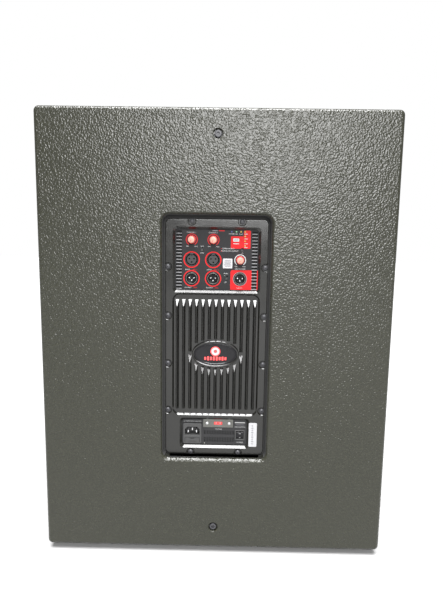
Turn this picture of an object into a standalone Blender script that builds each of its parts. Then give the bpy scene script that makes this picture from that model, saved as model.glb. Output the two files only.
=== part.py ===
"""Powered stage subwoofer: wooden cabinet, 18 inch driver and a plate amplifier in the back.

Row frame: metres, +Z up, the grille faces -Y and the amplifier side faces +Y. The origin is
the centre of the bounding box on the ground.
"""

import math

import bmesh
import bpy
from mathutils import Vector

MM = 0.001
GAP = 0.0003

# Cabinet
CABINET_W = 0.560
CABINET_H = 0.715
CABINET_D = 0.660
PANEL_T = 0.018
FOOT_H = 0.010
EDGE_R = 0.006
Z_BOTTOM = FOOT_H
Z_TOP = FOOT_H + CABINET_H
Y_BACK = CABINET_D / 2
Y_FRONT = -CABINET_D / 2
Y_INSIDE_BACK = Y_BACK - PANEL_T
BAFFLE_FRONT = Y_FRONT + 0.040
PORT_TOP = 0.113
PORT_LENGTH = 0.350

# Side handles
HANDLE_Y = 0.0
HANDLE_Z = 0.400
HANDLE_FLANGE = (0.200, 0.130)
HANDLE_CUP = (0.176, 0.106)
HANDLE_DEPTH = 0.070
HANDLE_BAR_R = 0.012

# Pole socket in the top
POLE_BORE_R = 0.01775
POLE_TUBE_R = 0.0215
POLE_FLANGE_R = 0.042
POLE_DEPTH = 0.090

# Grille
GRILLE_Y = Y_FRONT + 0.0005
GRILLE_RETURN = 0.011

# Driver, axis along Y
DRIVER_Z = 0.464
FRAME_R = 0.231
CUTOUT_R = 0.212
FLANGE_BACK = BAFFLE_FRONT - GAP
FLANGE_FRONT = FLANGE_BACK - 0.006
CONE_R = 0.186
COIL_R = 0.050
CAP_RIM_Y = -0.2257

# Amplifier plate
AMP_Z = 0.365
RECESS = (0.170, 0.401)
RECESS_LIP_R = 0.005
PLATE = (0.163, 0.389)
PLATE_R = 0.008
PLATE_FRONT = Y_BACK - 0.014
PLATE_T = 0.004
COLLAR_T = 0.002
FIELD_DEPTH = 0.0025
FIELD = (0.140, 0.238, 0.441)
TOP_WINDOW = (0.070, 0.0523, 0.495)
LOW_WINDOW = (0.0578, 0.0261, 0.2069)
WINDOW_BEVEL = 0.0034
SHEET_T = 0.0015
SHEET_FRONT = PLATE_FRONT - PLATE_T - COLLAR_T - GAP
SHEET_BACK = SHEET_FRONT - SHEET_T
FIN_COUNT = 13
FIN_PITCH = 0.0104
FIN_TOP = 0.4315
FIN_BOTTOM = 0.2485
FIN_HEIGHT = 0.0075
FIN_RAMP = 0.0105
BADGE_Z = 0.3424
BADGE_BOSS = (0.0383, 0.0226)
BADGE_OVAL = (0.0350, 0.0182)
SCREW_X = 0.0777
SCREW_TOP_X = 0.0396
SCREW_ROWS = (0.4838, 0.4046, 0.3254, 0.2462)
SCREW_ENDS = (0.5560, 0.1733)

# Controls on the two recessed sheets
COLUMN_A = 0.0402
COLUMN_B = 0.0056
COLUMN_C = -0.0376
KNOB_ROW = 0.5270
INPUT_ROW = 0.4952
OUTPUT_ROW = 0.4651
KNOB_R = 0.0065
XLR_BODY_R = 0.0115
XLR_NOSE_R = 0.0101
XLR_HOLE_R = 0.0104
SWITCHES = ((0.0237, 0.5103), (-0.0406, 0.5098), (-0.0161, 0.4650))
IEC_CENTRE = (0.0371, 0.2038)
IEC_BEZEL = (0.0313, 0.0356)
IEC_WELL_Z = 0.2083
FUSE_Z = 0.1925
SELECTOR = (-0.0061, 0.2221)
ROCKER = (-0.0427, 0.2020)
ROCKER_TILT = math.radians(8.0)
BOLT_ROWS = (0.6865, 0.0474)

COLOURS = {
    "cabinet_paint": (0.075, 0.075, 0.070, 0.85, 0.0),
    "black_plastic": (0.030, 0.030, 0.030, 0.55, 0.0),
    "rubber": (0.020, 0.020, 0.020, 0.90, 0.0),
    "black_steel": (0.040, 0.040, 0.042, 0.50, 0.3),
    "bright_steel": (0.600, 0.600, 0.610, 0.35, 1.0),
    "zinc_plate": (0.550, 0.560, 0.540, 0.45, 1.0),
    "cast_alloy": (0.100, 0.100, 0.095, 0.60, 0.2),
    "panel_print": (0.050, 0.050, 0.055, 0.65, 0.0),
    "red_plastic": (0.750, 0.060, 0.060, 0.45, 0.0),
    "paper_cone": (0.035, 0.035, 0.035, 0.90, 0.0),
    "ferrite": (0.050, 0.050, 0.052, 0.70, 0.0),
    "foam": (0.020, 0.020, 0.020, 1.00, 0.0),
    "circuit_board": (0.020, 0.160, 0.060, 0.50, 0.0),
    "copper_coil": (0.600, 0.300, 0.140, 0.40, 0.8),
}


def clear_scene():
    """Empty the file before anything is built."""
    for thing in list(bpy.data.objects):
        bpy.data.objects.remove(thing, do_unlink=True)


def material(name):
    """Return the plain material of one slot."""
    found = bpy.data.materials.get(name)
    if found:
        return found
    red, green, blue, rough, metal = COLOURS[name]
    found = bpy.data.materials.new(name)
    found.use_nodes = True
    shader = found.node_tree.nodes["Principled BSDF"]
    shader.inputs["Base Color"].default_value = (red, green, blue, 1.0)
    shader.inputs["Roughness"].default_value = rough
    shader.inputs["Metallic"].default_value = metal
    return found


# Outlines, each a list of (u, v) pairs going round once


def rounded_rect(width, height, radius, steps=3, centre=(0.0, 0.0)):
    """Outline of a rectangle with round corners."""
    points = []
    corners = ((1, 1, 0), (-1, 1, 90), (-1, -1, 180), (1, -1, 270))
    for side_u, side_v, start in corners:
        mid_u = centre[0] + side_u * (width / 2 - radius)
        mid_v = centre[1] + side_v * (height / 2 - radius)
        for step in range(steps + 1):
            angle = math.radians(start + 90.0 * step / steps)
            points.append((mid_u + radius * math.cos(angle), mid_v + radius * math.sin(angle)))
    return points


def oval(half_u, half_v, count, centre=(0.0, 0.0), turn=0.0):
    """Outline of an ellipse or a circle."""
    points = []
    for step in range(count):
        angle = 2 * math.pi * step / count + turn
        points.append((centre[0] + half_u * math.cos(angle), centre[1] + half_v * math.sin(angle)))
    return points


def rect(u0, u1, v0, v1):
    """Outline of a plain rectangle."""
    return [(u0, v0), (u1, v0), (u1, v1), (u0, v1)]


def ring_y(outline, y):
    """Stand an outline up in the XZ plane at depth y."""
    return [Vector((u, y, v)) for u, v in outline]


def ring_x(outline, x):
    """Stand an outline up in the YZ plane at x."""
    return [Vector((x, u, v)) for u, v in outline]


def ring_z(outline, z):
    """Lay an outline flat at height z."""
    return [Vector((u, v, z)) for u, v in outline]


# Meshes


def finish_mesh(name, mesh_data):
    """Turn a bmesh into a mesh whose faces all look outward."""
    bmesh.ops.recalc_face_normals(mesh_data, faces=mesh_data.faces)
    mesh = bpy.data.meshes.new(name)
    mesh_data.to_mesh(mesh)
    mesh_data.free()
    return mesh


def loft(name, rings, closed=False):
    """Skin a row of equal rings; a closed loft joins the last ring to the first."""
    data = bmesh.new()
    made = [[data.verts.new(point) for point in ring] for ring in rings]
    count = len(rings[0])
    pairs = list(zip(made, made[1:]))
    if closed:
        pairs.append((made[-1], made[0]))
    for low, high in pairs:
        for step in range(count):
            after = (step + 1) % count
            data.faces.new((low[step], low[after], high[after], high[step]))
    if not closed:
        data.faces.new(made[0])
        data.faces.new(made[-1])
    return finish_mesh(name, data)


def prism_y(name, outline, y0, y1):
    """Straight piece between two depths."""
    return loft(name, [ring_y(outline, y0), ring_y(outline, y1)])


def box(name, x0, x1, y0, y1, z0, z1):
    """Plain block."""
    return loft(name, [ring_y(rect(x0, x1, z0, z1), y0), ring_y(rect(x0, x1, z0, z1), y1)])


def turned(name, profile, count, centre, turn=0.0):
    """Spin (radius, y) points round an axis along Y; the profile closes on itself."""
    data = bmesh.new()
    rings = []
    for radius, y in profile:
        if radius < 1e-9:
            rings.append([data.verts.new((centre[0], y, centre[1]))])
            continue
        ring = []
        for u, v in oval(radius, radius, count, centre, turn):
            ring.append(data.verts.new((u, y, v)))
        rings.append(ring)
    for index, low in enumerate(rings):
        high = rings[(index + 1) % len(rings)]
        for step in range(count):
            after = (step + 1) % count
            if len(low) == 1 and len(high) == 1:
                continue
            if len(low) == 1:
                data.faces.new((low[0], high[after], high[step]))
            elif len(high) == 1:
                data.faces.new((low[step], low[after], high[0]))
            else:
                data.faces.new((low[step], low[after], high[after], high[step]))
    return finish_mesh(name, data)


def joined(name, meshes):
    """Put several meshes into one."""
    data = bmesh.new()
    for mesh in meshes:
        data.from_mesh(mesh)
        bpy.data.meshes.remove(mesh)
    mesh = bpy.data.meshes.new(name)
    data.to_mesh(mesh)
    data.free()
    return mesh


def combined(name, base, other, operation):
    """Boolean of two meshes, worked out at once so that no cutter is left behind."""
    base_object = bpy.data.objects.new(name + "_base", base)
    other_object = bpy.data.objects.new(name + "_other", other)
    bpy.context.scene.collection.objects.link(base_object)
    bpy.context.scene.collection.objects.link(other_object)
    modifier = base_object.modifiers.new("shape", "BOOLEAN")
    modifier.operation = operation
    modifier.solver = "EXACT"
    modifier.object = other_object
    graph = bpy.context.evaluated_depsgraph_get()
    result = bpy.data.meshes.new_from_object(base_object.evaluated_get(graph))
    result.name = name
    bpy.data.objects.remove(base_object, do_unlink=True)
    bpy.data.objects.remove(other_object, do_unlink=True)
    bpy.data.meshes.remove(base)
    bpy.data.meshes.remove(other)
    data = bmesh.new()
    data.from_mesh(result)
    bmesh.ops.remove_doubles(data, verts=data.verts, dist=1e-6)
    bmesh.ops.dissolve_limit(
        data, angle_limit=math.radians(0.5), verts=data.verts, edges=data.edges
    )
    data.to_mesh(result)
    data.free()
    return result


def cut(name, base, cutters):
    """Take the cutters out of the base."""
    return combined(name, base, joined(name + "_cutters", cutters), "DIFFERENCE")


def fused(name, base, others):
    """Add the other meshes to the base."""
    return combined(name, base, joined(name + "_others", others), "UNION")


def place(name, mesh, slot, origin=(0.0, 0.0, 0.0), smooth=False):
    """Make the named object, with its origin at the joint or at the row's origin."""
    offset = Vector(origin)
    for vertex in mesh.vertices:
        vertex.co -= offset
    mesh.materials.clear()
    mesh.materials.append(material(slot))
    for face in mesh.polygons:
        face.use_smooth = smooth
    thing = bpy.data.objects.new(name, mesh)
    thing.location = offset
    bpy.context.scene.collection.objects.link(thing)
    return thing


# Cabinet


def rounded_board(name, z_flat, z_round):
    """Top or bottom board: its two long outer edges are rounded."""
    half = CABINET_W / 2
    side = 1 if z_round > z_flat else -1
    outline = [(half, z_flat)]
    for step in range(5):
        angle = math.radians(90.0 * step / 4)
        outline.append((half - EDGE_R + EDGE_R * math.cos(angle),
                        z_round - side * (EDGE_R - EDGE_R * math.sin(angle))))
    outline += [(-x, z) for x, z in reversed(outline)]
    return prism_y(name, outline, Y_FRONT, Y_INSIDE_BACK - GAP)


def build_top():
    """Top board with the pole socket's hole."""
    board = rounded_board("top_panel", Z_TOP - PANEL_T, Z_TOP)
    hole = loft("hole", [ring_z(oval(POLE_TUBE_R + 0.0008, POLE_TUBE_R + 0.0008, 20), z)
                         for z in (Z_TOP - 0.03, Z_TOP + 0.01)])
    place("top_panel", cut("top_panel", board, [hole]), "cabinet_paint")


def build_bottom():
    """Bottom board."""
    place("bottom_panel", rounded_board("bottom_panel", Z_BOTTOM + PANEL_T, Z_BOTTOM), "cabinet_paint")


def build_side(name, side):
    """Side board with the handle's cut-out."""
    outer = side * CABINET_W / 2
    inner = side * (CABINET_W / 2 - PANEL_T)
    low = Z_BOTTOM + PANEL_T + GAP
    high = Z_TOP - PANEL_T - GAP
    board = box(name, min(outer, inner), max(outer, inner), Y_FRONT, Y_INSIDE_BACK - GAP, low, high)
    outline = rounded_rect(HANDLE_CUP[0] + 0.001, HANDLE_CUP[1] + 0.001, 0.0165, 3, (HANDLE_Y, HANDLE_Z))
    hole = loft("hole", [ring_x(outline, side * 0.25), ring_x(outline, side * 0.29)])
    place(name, cut(name, board, [hole]), "cabinet_paint")


def build_back():
    """Back board with its rounded rim and the lipped opening for the amplifier."""
    rings = [ring_y(rounded_rect(CABINET_W, CABINET_H, 0.008, 3, (0, FOOT_H + CABINET_H / 2)), Y_INSIDE_BACK)]
    for step in range(4):
        angle = math.radians(90.0 * step / 3)
        inset = EDGE_R * (1 - math.cos(angle))
        outline = rounded_rect(CABINET_W - 2 * inset, CABINET_H - 2 * inset, 0.008 - inset, 3,
                               (0, FOOT_H + CABINET_H / 2))
        rings.append(ring_y(outline, Y_BACK - EDGE_R + EDGE_R * math.sin(angle)))
    for step in range(4):
        angle = math.radians(90.0 * step / 3)
        grow = RECESS_LIP_R * (1 - math.sin(angle))
        outline = rounded_rect(RECESS[0] + 2 * grow, RECESS[1] + 2 * grow, 0.011 + grow, 3, (0, AMP_Z))
        rings.append(ring_y(outline, Y_BACK - RECESS_LIP_R + RECESS_LIP_R * math.cos(angle)))
    rings.append(ring_y(rounded_rect(RECESS[0], RECESS[1], 0.011, 3, (0, AMP_Z)), Y_INSIDE_BACK))
    board = loft("back_panel", rings, closed=True)
    holes = []
    for z in BOLT_ROWS:
        rings = [ring_y(oval(radius, radius, 16, (0, z)), y) for radius, y in (
            (0.0048, Y_INSIDE_BACK - 0.01), (0.0048, Y_BACK - 0.0055), (0.0076, Y_BACK - 0.0055),
            (0.0076, Y_BACK + 0.01))]
        holes.append(loft("hole", rings))
    place("back_panel", cut("back_panel", board, holes), "cabinet_paint")


def build_inner_boards():
    """Baffle, port shelf, cross brace and the frame the amplifier is screwed to."""
    half = CABINET_W / 2 - PANEL_T - GAP
    top = Z_TOP - PANEL_T - GAP
    baffle = box("front_baffle", -half, half, BAFFLE_FRONT, BAFFLE_FRONT + PANEL_T, PORT_TOP + GAP, top)
    hole = prism_y("hole", oval(CUTOUT_R, CUTOUT_R, 32, (0, DRIVER_Z)), BAFFLE_FRONT - 0.01, BAFFLE_FRONT + 0.03)
    place("front_baffle", cut("front_baffle", baffle, [hole]), "cabinet_paint")
    shelf_y = BAFFLE_FRONT + PANEL_T + GAP
    place("port_shelf", box("port_shelf", -half, half, shelf_y, shelf_y + PORT_LENGTH, PORT_TOP + GAP,
                            PORT_TOP + PANEL_T), "cabinet_paint")
    place("cross_brace", box("cross_brace", -half, half, 0.118, 0.158, 0.580, 0.620), "cabinet_paint")
    outer = rounded_rect(0.210, 0.441, 0.004, 3, (0, AMP_Z))
    inner = rounded_rect(0.148, 0.376, 0.004, 3, (0, AMP_Z))
    front = Y_INSIDE_BACK - GAP
    rings = [ring_y(outer, front - 0.015), ring_y(outer, front), ring_y(inner, front), ring_y(inner, front - 0.015)]
    place("amp_mount_frame", loft("amp_mount_frame", rings, closed=True), "cabinet_paint")


def build_handle(side, word):
    """Recessed cup and its grip bar."""
    face = CABINET_W / 2
    centre = (HANDLE_Y, HANDLE_Z)
    wall = 0.0025
    flange = rounded_rect(HANDLE_FLANGE[0], HANDLE_FLANGE[1], 0.020, 3, centre)
    throat = rounded_rect(HANDLE_CUP[0], HANDLE_CUP[1], 0.016, 3, centre)
    foot = rounded_rect(HANDLE_CUP[0] - 0.010, HANDLE_CUP[1] - 0.010, 0.014, 3, centre)
    mouth = rounded_rect(HANDLE_CUP[0] - 2 * wall, HANDLE_CUP[1] - 2 * wall, 0.0135, 3, centre)
    floor = rounded_rect(HANDLE_CUP[0] - 0.010 - 2 * wall, HANDLE_CUP[1] - 0.010 - 2 * wall, 0.0115, 3, centre)
    rings = [
        ring_x(floor, side * (face - HANDLE_DEPTH + wall)),
        ring_x(mouth, side * (face + wall)),
        ring_x(flange, side * (face + wall)),
        ring_x(flange, side * (face + GAP)),
        ring_x(throat, side * (face + GAP)),
        ring_x(foot, side * (face - HANDLE_DEPTH)),
    ]
    place(word + "_handle_cup", loft(word + "_handle_cup", rings), "black_plastic")
    bar_x = side * (face - 0.016)
    length = HANDLE_CUP[0] / 2 - wall - 0.0038
    bar = loft("bar", [[Vector((bar_x + u, y, HANDLE_Z + v)) for u, v in oval(HANDLE_BAR_R, HANDLE_BAR_R, 12)]
                       for y in (HANDLE_Y - length, HANDLE_Y + length)])
    place(word + "_handle_bar", bar, "rubber", smooth=False)


def build_pole_socket():
    """Cup that takes a speaker pole."""
    rings = [
        ring_z(oval(POLE_BORE_R, POLE_BORE_R, 20), Z_TOP - POLE_DEPTH + 0.004),
        ring_z(oval(POLE_BORE_R, POLE_BORE_R, 20), Z_TOP + 0.0028),
        ring_z(oval(POLE_FLANGE_R, POLE_FLANGE_R, 20), Z_TOP + 0.0028),
        ring_z(oval(POLE_FLANGE_R, POLE_FLANGE_R, 20), Z_TOP + GAP),
        ring_z(oval(POLE_TUBE_R, POLE_TUBE_R, 20), Z_TOP + GAP),
        ring_z(oval(POLE_TUBE_R, POLE_TUBE_R, 20), Z_TOP - POLE_DEPTH),
    ]
    place("pole_socket", loft("pole_socket", rings), "black_plastic")


def build_feet():
    """Four rubber feet."""
    spots = {"front_left": (-1, -1), "front_right": (1, -1), "back_left": (-1, 1), "back_right": (1, 1)}
    for word, (side_x, side_y) in spots.items():
        centre = (side_x * 0.225, side_y * 0.275)
        rings = [ring_z(oval(0.016, 0.016, 16, centre), 0.0), ring_z(oval(0.019, 0.019, 16, centre), FOOT_H - GAP)]
        place("foot_" + word, loft("foot", rings), "rubber")


def build_bolts():
    """Two hex-socket bolts on the centre line of the back."""
    for word, z in zip(("upper", "lower"), BOLT_ROWS):
        head = turned("bolt", [(0, Y_BACK - 0.0010), (0.0052, Y_BACK - 0.0010), (0.0056, Y_BACK - 0.0016),
                               (0.0056, Y_BACK - 0.0052), (0.0043, Y_BACK - 0.0052), (0.0043, Y_BACK - 0.028),
                               (0, Y_BACK - 0.028)], 16, (0, z))
        hexagon = prism_y("hex", oval(0.0029, 0.0029, 6, (0, z)), Y_BACK - 0.0042, Y_BACK + 0.01)
        place("back_bolt_" + word, cut("bolt", head, [hexagon]), "black_steel")


def build_grille():
    """Steel grille tray with the foam sheet inside it."""
    width = CABINET_W - 2 * PANEL_T - 0.002
    height = CABINET_H - 2 * PANEL_T - 0.002
    centre = (0, FOOT_H + CABINET_H / 2)
    skin = 0.0015
    outer = rounded_rect(width, height, 0.004, 2, centre)
    inner = rounded_rect(width - 2 * skin, height - 2 * skin, 0.0025, 2, centre)
    rings = [ring_y(inner, GRILLE_Y + skin), ring_y(inner, GRILLE_Y + GRILLE_RETURN),
             ring_y(outer, GRILLE_Y + GRILLE_RETURN), ring_y(outer, GRILLE_Y)]
    place("grille", loft("grille", rings), "black_steel")
    pad = rounded_rect(width - 2 * skin - 0.002, height - 2 * skin - 0.002, 0.0025, 2, centre)
    place("grille_foam", prism_y("grille_foam", pad, GRILLE_Y + skin + GAP, GRILLE_Y + skin + 0.0063), "foam")


# Driver


def build_driver_frame():
    """Cast basket with open windows between six arms."""
    axis = (0, DRIVER_Z)
    profile = [(0.2085, FLANGE_FRONT), (FRAME_R, FLANGE_FRONT), (FRAME_R, FLANGE_BACK), (0.2105, FLANGE_BACK),
               (0.2050, -0.268), (0.1140, -0.172), (0.1140, -0.159), (0.0620, -0.159), (0.0620, -0.165),
               (0.1095, -0.165), (0.1095, -0.175), (0.2010, -0.271)]
    basket = turned("basket", profile, 24, axis, math.pi / 24)
    windows = []
    for step in range(6):
        angle = math.radians(60 * step + 30)
        spread = math.radians(17)
        corners = []
        for turn, reach in ((-spread, 0.130), (spread, 0.130), (spread * 0.95, 0.262), (-spread * 0.95, 0.262)):
            corners.append((axis[0] + reach * math.cos(angle + turn), axis[1] + reach * math.sin(angle + turn)))
        windows.append(prism_y("window", corners, -0.262, -0.182))
    place("driver_basket", cut("basket", basket, windows), "cast_alloy")


def build_motor():
    """Magnet ring between two steel plates."""
    axis = (0, DRIVER_Z)
    top = [(0.0526, -0.1587), (0.1080, -0.1587), (0.1080, -0.1467), (0.0526, -0.1467)]
    place("motor_top_plate", turned("top_plate", top, 24, axis), "black_steel")
    ring = [(0.0600, -0.1464), (0.1100, -0.1464), (0.1100, -0.1224), (0.0600, -0.1224)]
    place("motor_magnet", turned("magnet", ring, 24, axis), "ferrite")
    pole = [(0.0150, -0.1587), (0.0474, -0.1587), (0.0474, -0.1221), (0.1050, -0.1221), (0.1050, -0.1100),
            (0.0150, -0.1100)]
    place("motor_back_plate", turned("back_plate", pole, 24, axis), "black_steel")


def build_moving_parts():
    """Cone, dust cap and voice coil, with the surround and the spider that carry them."""
    axis = (0, DRIVER_Z)
    rest = (0, FLANGE_FRONT, DRIVER_Z)
    cone = [(0.0509, -0.2130), (0.0509, -0.2165), (0.1730, FLANGE_FRONT), (CONE_R, FLANGE_FRONT),
            (CONE_R, FLANGE_FRONT + 0.0018), (0.1725, FLANGE_FRONT + 0.0025)]
    place("driver_cone", turned("cone", cone, 32, axis), "paper_cone", rest, smooth=False)
    cap = []
    for radius, lift in ((0.0640, 0.0), (0.0520, 0.0100), (0.0340, 0.0180), (0.0, 0.0225)):
        cap.append((radius, CAP_RIM_Y - lift))
    for radius, lift in ((0.0, 0.0215), (0.0335, 0.0170), (0.0512, 0.0092), (0.0628, 0.0)):
        cap.append((radius, CAP_RIM_Y - lift))
    place("dust_cap", turned("cap", cap, 24, axis), "paper_cone", rest)
    coil = [(0.0492, -0.2200), (0.0506, -0.2200), (0.0506, -0.1350), (0.0492, -0.1350)]
    place("voice_coil", turned("coil", coil, 24, axis), "copper_coil", rest)
    lip = FLANGE_FRONT - GAP
    roll = [(0.1750, lip), (0.1860, lip), (0.1900, lip - 0.0060), (0.1970, lip - 0.0092),
            (0.2040, lip - 0.0060), (0.2088, lip), (0.2180, lip)]
    skin = [(0.2180, lip - 0.0010), (0.2097, lip - 0.0010), (0.2050, lip - 0.0070), (0.1970, lip - 0.0104),
            (0.1890, lip - 0.0070), (0.1851, lip - 0.0010), (0.1750, lip - 0.0010)]
    place("surround", turned("surround", roll + skin, 24, axis), "rubber")
    wave = [(0.0512, -0.1860), (0.0640, -0.1820), (0.0760, -0.1880), (0.0880, -0.1820), (0.1000, -0.1860),
            (0.1050, -0.1800), (0.1085, -0.1800)]
    under = [(r, y + 0.0009) for r, y in reversed(wave)]
    place("spider", turned("spider", wave + under, 24, axis), "foam")


# Amplifier


def window_cutter(half_x, half_z, centre_z):
    """Bevelled window through the plate and its collar."""
    front = PLATE_FRONT + 0.001
    back = PLATE_FRONT - PLATE_T - COLLAR_T - 0.001
    slope = WINDOW_BEVEL / (PLATE_T + COLLAR_T)
    rings = []
    for y in (front, back):
        inset = (PLATE_FRONT - y) * slope
        rings.append(ring_y(rounded_rect(2 * (half_x - inset), 2 * (half_z - inset), 0.006 - inset * 0.4, 2,
                                         (0, centre_z)), y))
    return loft("window", rings)


def fin(x, z_low, z_high):
    """One cast cooling fin: wide at its root, with a long slope at its upper end."""
    root = PLATE_FRONT - FIELD_DEPTH - 0.0007
    crest = PLATE_FRONT - FIELD_DEPTH + FIN_HEIGHT
    foot = rect(x - 0.0026, x + 0.0026, z_low, z_high)
    edge = rect(x - 0.0009, x + 0.0009, z_low + 0.0020, z_high - FIN_RAMP)
    return loft("fin", [ring_y(foot, root), ring_y(edge, crest)])


def fin_spans(x):
    """Vertical stretches of a fin: the badge's boss interrupts the middle ones."""
    near = max(abs(x) - 0.0026, 0.0)
    if near >= BADGE_BOSS[0]:
        return [(FIN_BOTTOM, FIN_TOP)]
    reach = BADGE_BOSS[1] * math.sqrt(1 - (near / BADGE_BOSS[0]) ** 2) + 0.0012
    return [(FIN_BOTTOM, BADGE_Z - reach), (BADGE_Z + reach, FIN_TOP)]


def build_faceplate():
    """Cast plate: two bevelled windows, a sunken field of fins, the badge boss and screw pockets."""
    back = PLATE_FRONT - PLATE_T
    edge = 0.0010
    rings = [
        ring_y(rounded_rect(PLATE[0], PLATE[1], PLATE_R, 3, (0, AMP_Z)), back),
        ring_y(rounded_rect(PLATE[0], PLATE[1], PLATE_R, 3, (0, AMP_Z)), PLATE_FRONT - edge),
        ring_y(rounded_rect(PLATE[0] - 2 * edge, PLATE[1] - 2 * edge, PLATE_R - edge, 3, (0, AMP_Z)), PLATE_FRONT),
    ]
    plate = loft("plate", rings)
    collars = []
    for half_x, half_z, centre_z in (TOP_WINDOW, LOW_WINDOW):
        collars.append(box("collar", -half_x - 0.0015, half_x + 0.0015, back - COLLAR_T, back + 0.001,
                           centre_z - half_z - 0.0015, centre_z + half_z + 0.0015))
    plate = fused("plate", plate, collars)
    floor = PLATE_FRONT - FIELD_DEPTH
    width, low, high = FIELD
    mid = ((0, (low + high) / 2))
    field = loft("field", [ring_y(rounded_rect(width - 0.004, high - low - 0.004, 0.010, 3, mid), floor),
                           ring_y(rounded_rect(width + 0.002, high - low + 0.0006, 0.012, 3, mid),
                                  PLATE_FRONT + 0.001)])
    plate = cut("plate", plate, [field])
    cutters = [window_cutter(*TOP_WINDOW), window_cutter(*LOW_WINDOW)]
    pockets = [(side * SCREW_X, z) for side in (-1, 1) for z in SCREW_ROWS]
    pockets += [(side * SCREW_TOP_X, z) for side in (-1, 1) for z in SCREW_ENDS]
    for spot in pockets:
        cutters.append(loft("pocket", [ring_y(oval(0.0058, 0.0058, 12, spot, 0.1), PLATE_FRONT - 0.0024),
                                       ring_y(oval(0.0072, 0.0072, 12, spot, 0.1), PLATE_FRONT + 0.0006)]))
    plate = cut("plate", plate, cutters)
    fins = []
    for step in range(FIN_COUNT):
        x = (step - (FIN_COUNT - 1) / 2) * FIN_PITCH
        for z_low, z_high in fin_spans(x):
            fins.append(fin(x, z_low, z_high))
    half_u, half_v = BADGE_BOSS
    hole_u, hole_v = BADGE_OVAL[0] + 0.0004, BADGE_OVAL[1] + 0.0004
    centre = (0, BADGE_Z)
    top = floor + 0.0050
    boss = [
        ring_y(oval(half_u, half_v, 28, centre), floor - 0.0007),
        ring_y(oval(half_u - 0.0006, half_v - 0.0006, 28, centre), top),
        ring_y(oval(hole_u, hole_v, 28, centre), top),
        ring_y(oval(hole_u, hole_v, 28, centre), floor - 0.0007),
    ]
    fins.append(loft("boss", boss, closed=True))
    plate = fused("plate", plate, fins)
    place("amp_faceplate", plate, "cast_alloy")
    badge = [ring_y(oval(BADGE_OVAL[0], BADGE_OVAL[1], 28, centre), floor + GAP),
             ring_y(oval(BADGE_OVAL[0], BADGE_OVAL[1], 28, centre), top - 0.0014),
             ring_y(oval(BADGE_OVAL[0] - 0.0010, BADGE_OVAL[1] - 0.0010, 28, centre), top - 0.0004)]
    place("badge", loft("badge", badge), "black_plastic")


def build_control_sheet():
    """Upper recessed sheet with holes for the sockets, knobs and slide switches."""
    half_x, half_z, centre_z = TOP_WINDOW
    sheet = prism_y("sheet", rect(-half_x, half_x, centre_z - half_z, centre_z + half_z), SHEET_BACK, SHEET_FRONT)
    spots = [(COLUMN_A, INPUT_ROW), (COLUMN_B, INPUT_ROW), (COLUMN_A, OUTPUT_ROW), (COLUMN_B, OUTPUT_ROW),
             (COLUMN_C, OUTPUT_ROW)]
    low, high = SHEET_BACK - 0.002, SHEET_FRONT + 0.002
    cutters = [prism_y("hole", oval(XLR_HOLE_R, XLR_HOLE_R, 20, spot), low, high) for spot in spots]
    for spot in ((COLUMN_A, KNOB_ROW), (COLUMN_B, KNOB_ROW), (COLUMN_C, INPUT_ROW)):
        cutters.append(prism_y("hole", oval(0.0038, 0.0038, 10, spot), low, high))
    for x, z in SWITCHES:
        cutters.append(prism_y("hole", rect(x - 0.0021, x + 0.0021, z - 0.0018, z + 0.0048), low, high))
    place("control_panel", cut("sheet", sheet, cutters), "panel_print")


def build_power_sheet():
    """Lower recessed sheet with holes for the inlet, the selector and the rocker."""
    half_x, half_z, centre_z = LOW_WINDOW
    sheet = prism_y("sheet", rect(-half_x, half_x, centre_z - half_z, centre_z + half_z), SHEET_BACK, SHEET_FRONT)
    low, high = SHEET_BACK - 0.002, SHEET_FRONT + 0.002
    openings = [
        rect(IEC_CENTRE[0] - 0.0143, IEC_CENTRE[0] + 0.0143, 0.1874, 0.2190),
        rect(SELECTOR[0] - 0.0145, SELECTOR[0] + 0.0145, SELECTOR[1] - 0.0042, SELECTOR[1] + 0.0042),
        rect(ROCKER[0] - 0.0076, ROCKER[0] + 0.0076, ROCKER[1] - 0.0080, ROCKER[1] + 0.0080),
    ]
    cutters = [prism_y("hole", outline, low, high) for outline in openings]
    place("power_panel", cut("sheet", sheet, cutters), "panel_print")


def build_xlr_input(number, x):
    """Socket with a ring groove round the contact insert, and the sprung release tab in the groove."""
    centre = (x, INPUT_ROW)
    front = SHEET_FRONT + 0.0006
    shoulder = SHEET_BACK - GAP
    profile = [(0.0, front - 0.0010), (0.0074, front - 0.0010), (0.0080, front - 0.0016), (0.0080, front - 0.0140),
               (0.0096, front - 0.0140), (0.0096, front), (XLR_NOSE_R, front), (XLR_NOSE_R, shoulder),
               (XLR_BODY_R, shoulder), (XLR_BODY_R, front - 0.0250), (0.0, front - 0.0250)]
    place("xlr_input_%d" % number, turned("body", profile, 20, centre), "black_plastic")
    tab = prism_y("tab", rect(x - 0.0020, x + 0.0020, INPUT_ROW + 0.0083, INPUT_ROW + 0.0092),
                  front - 0.0095, front + 0.0010)
    place("xlr_release_%d" % number, tab, "black_steel", (x, front, INPUT_ROW + 0.00875))


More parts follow.
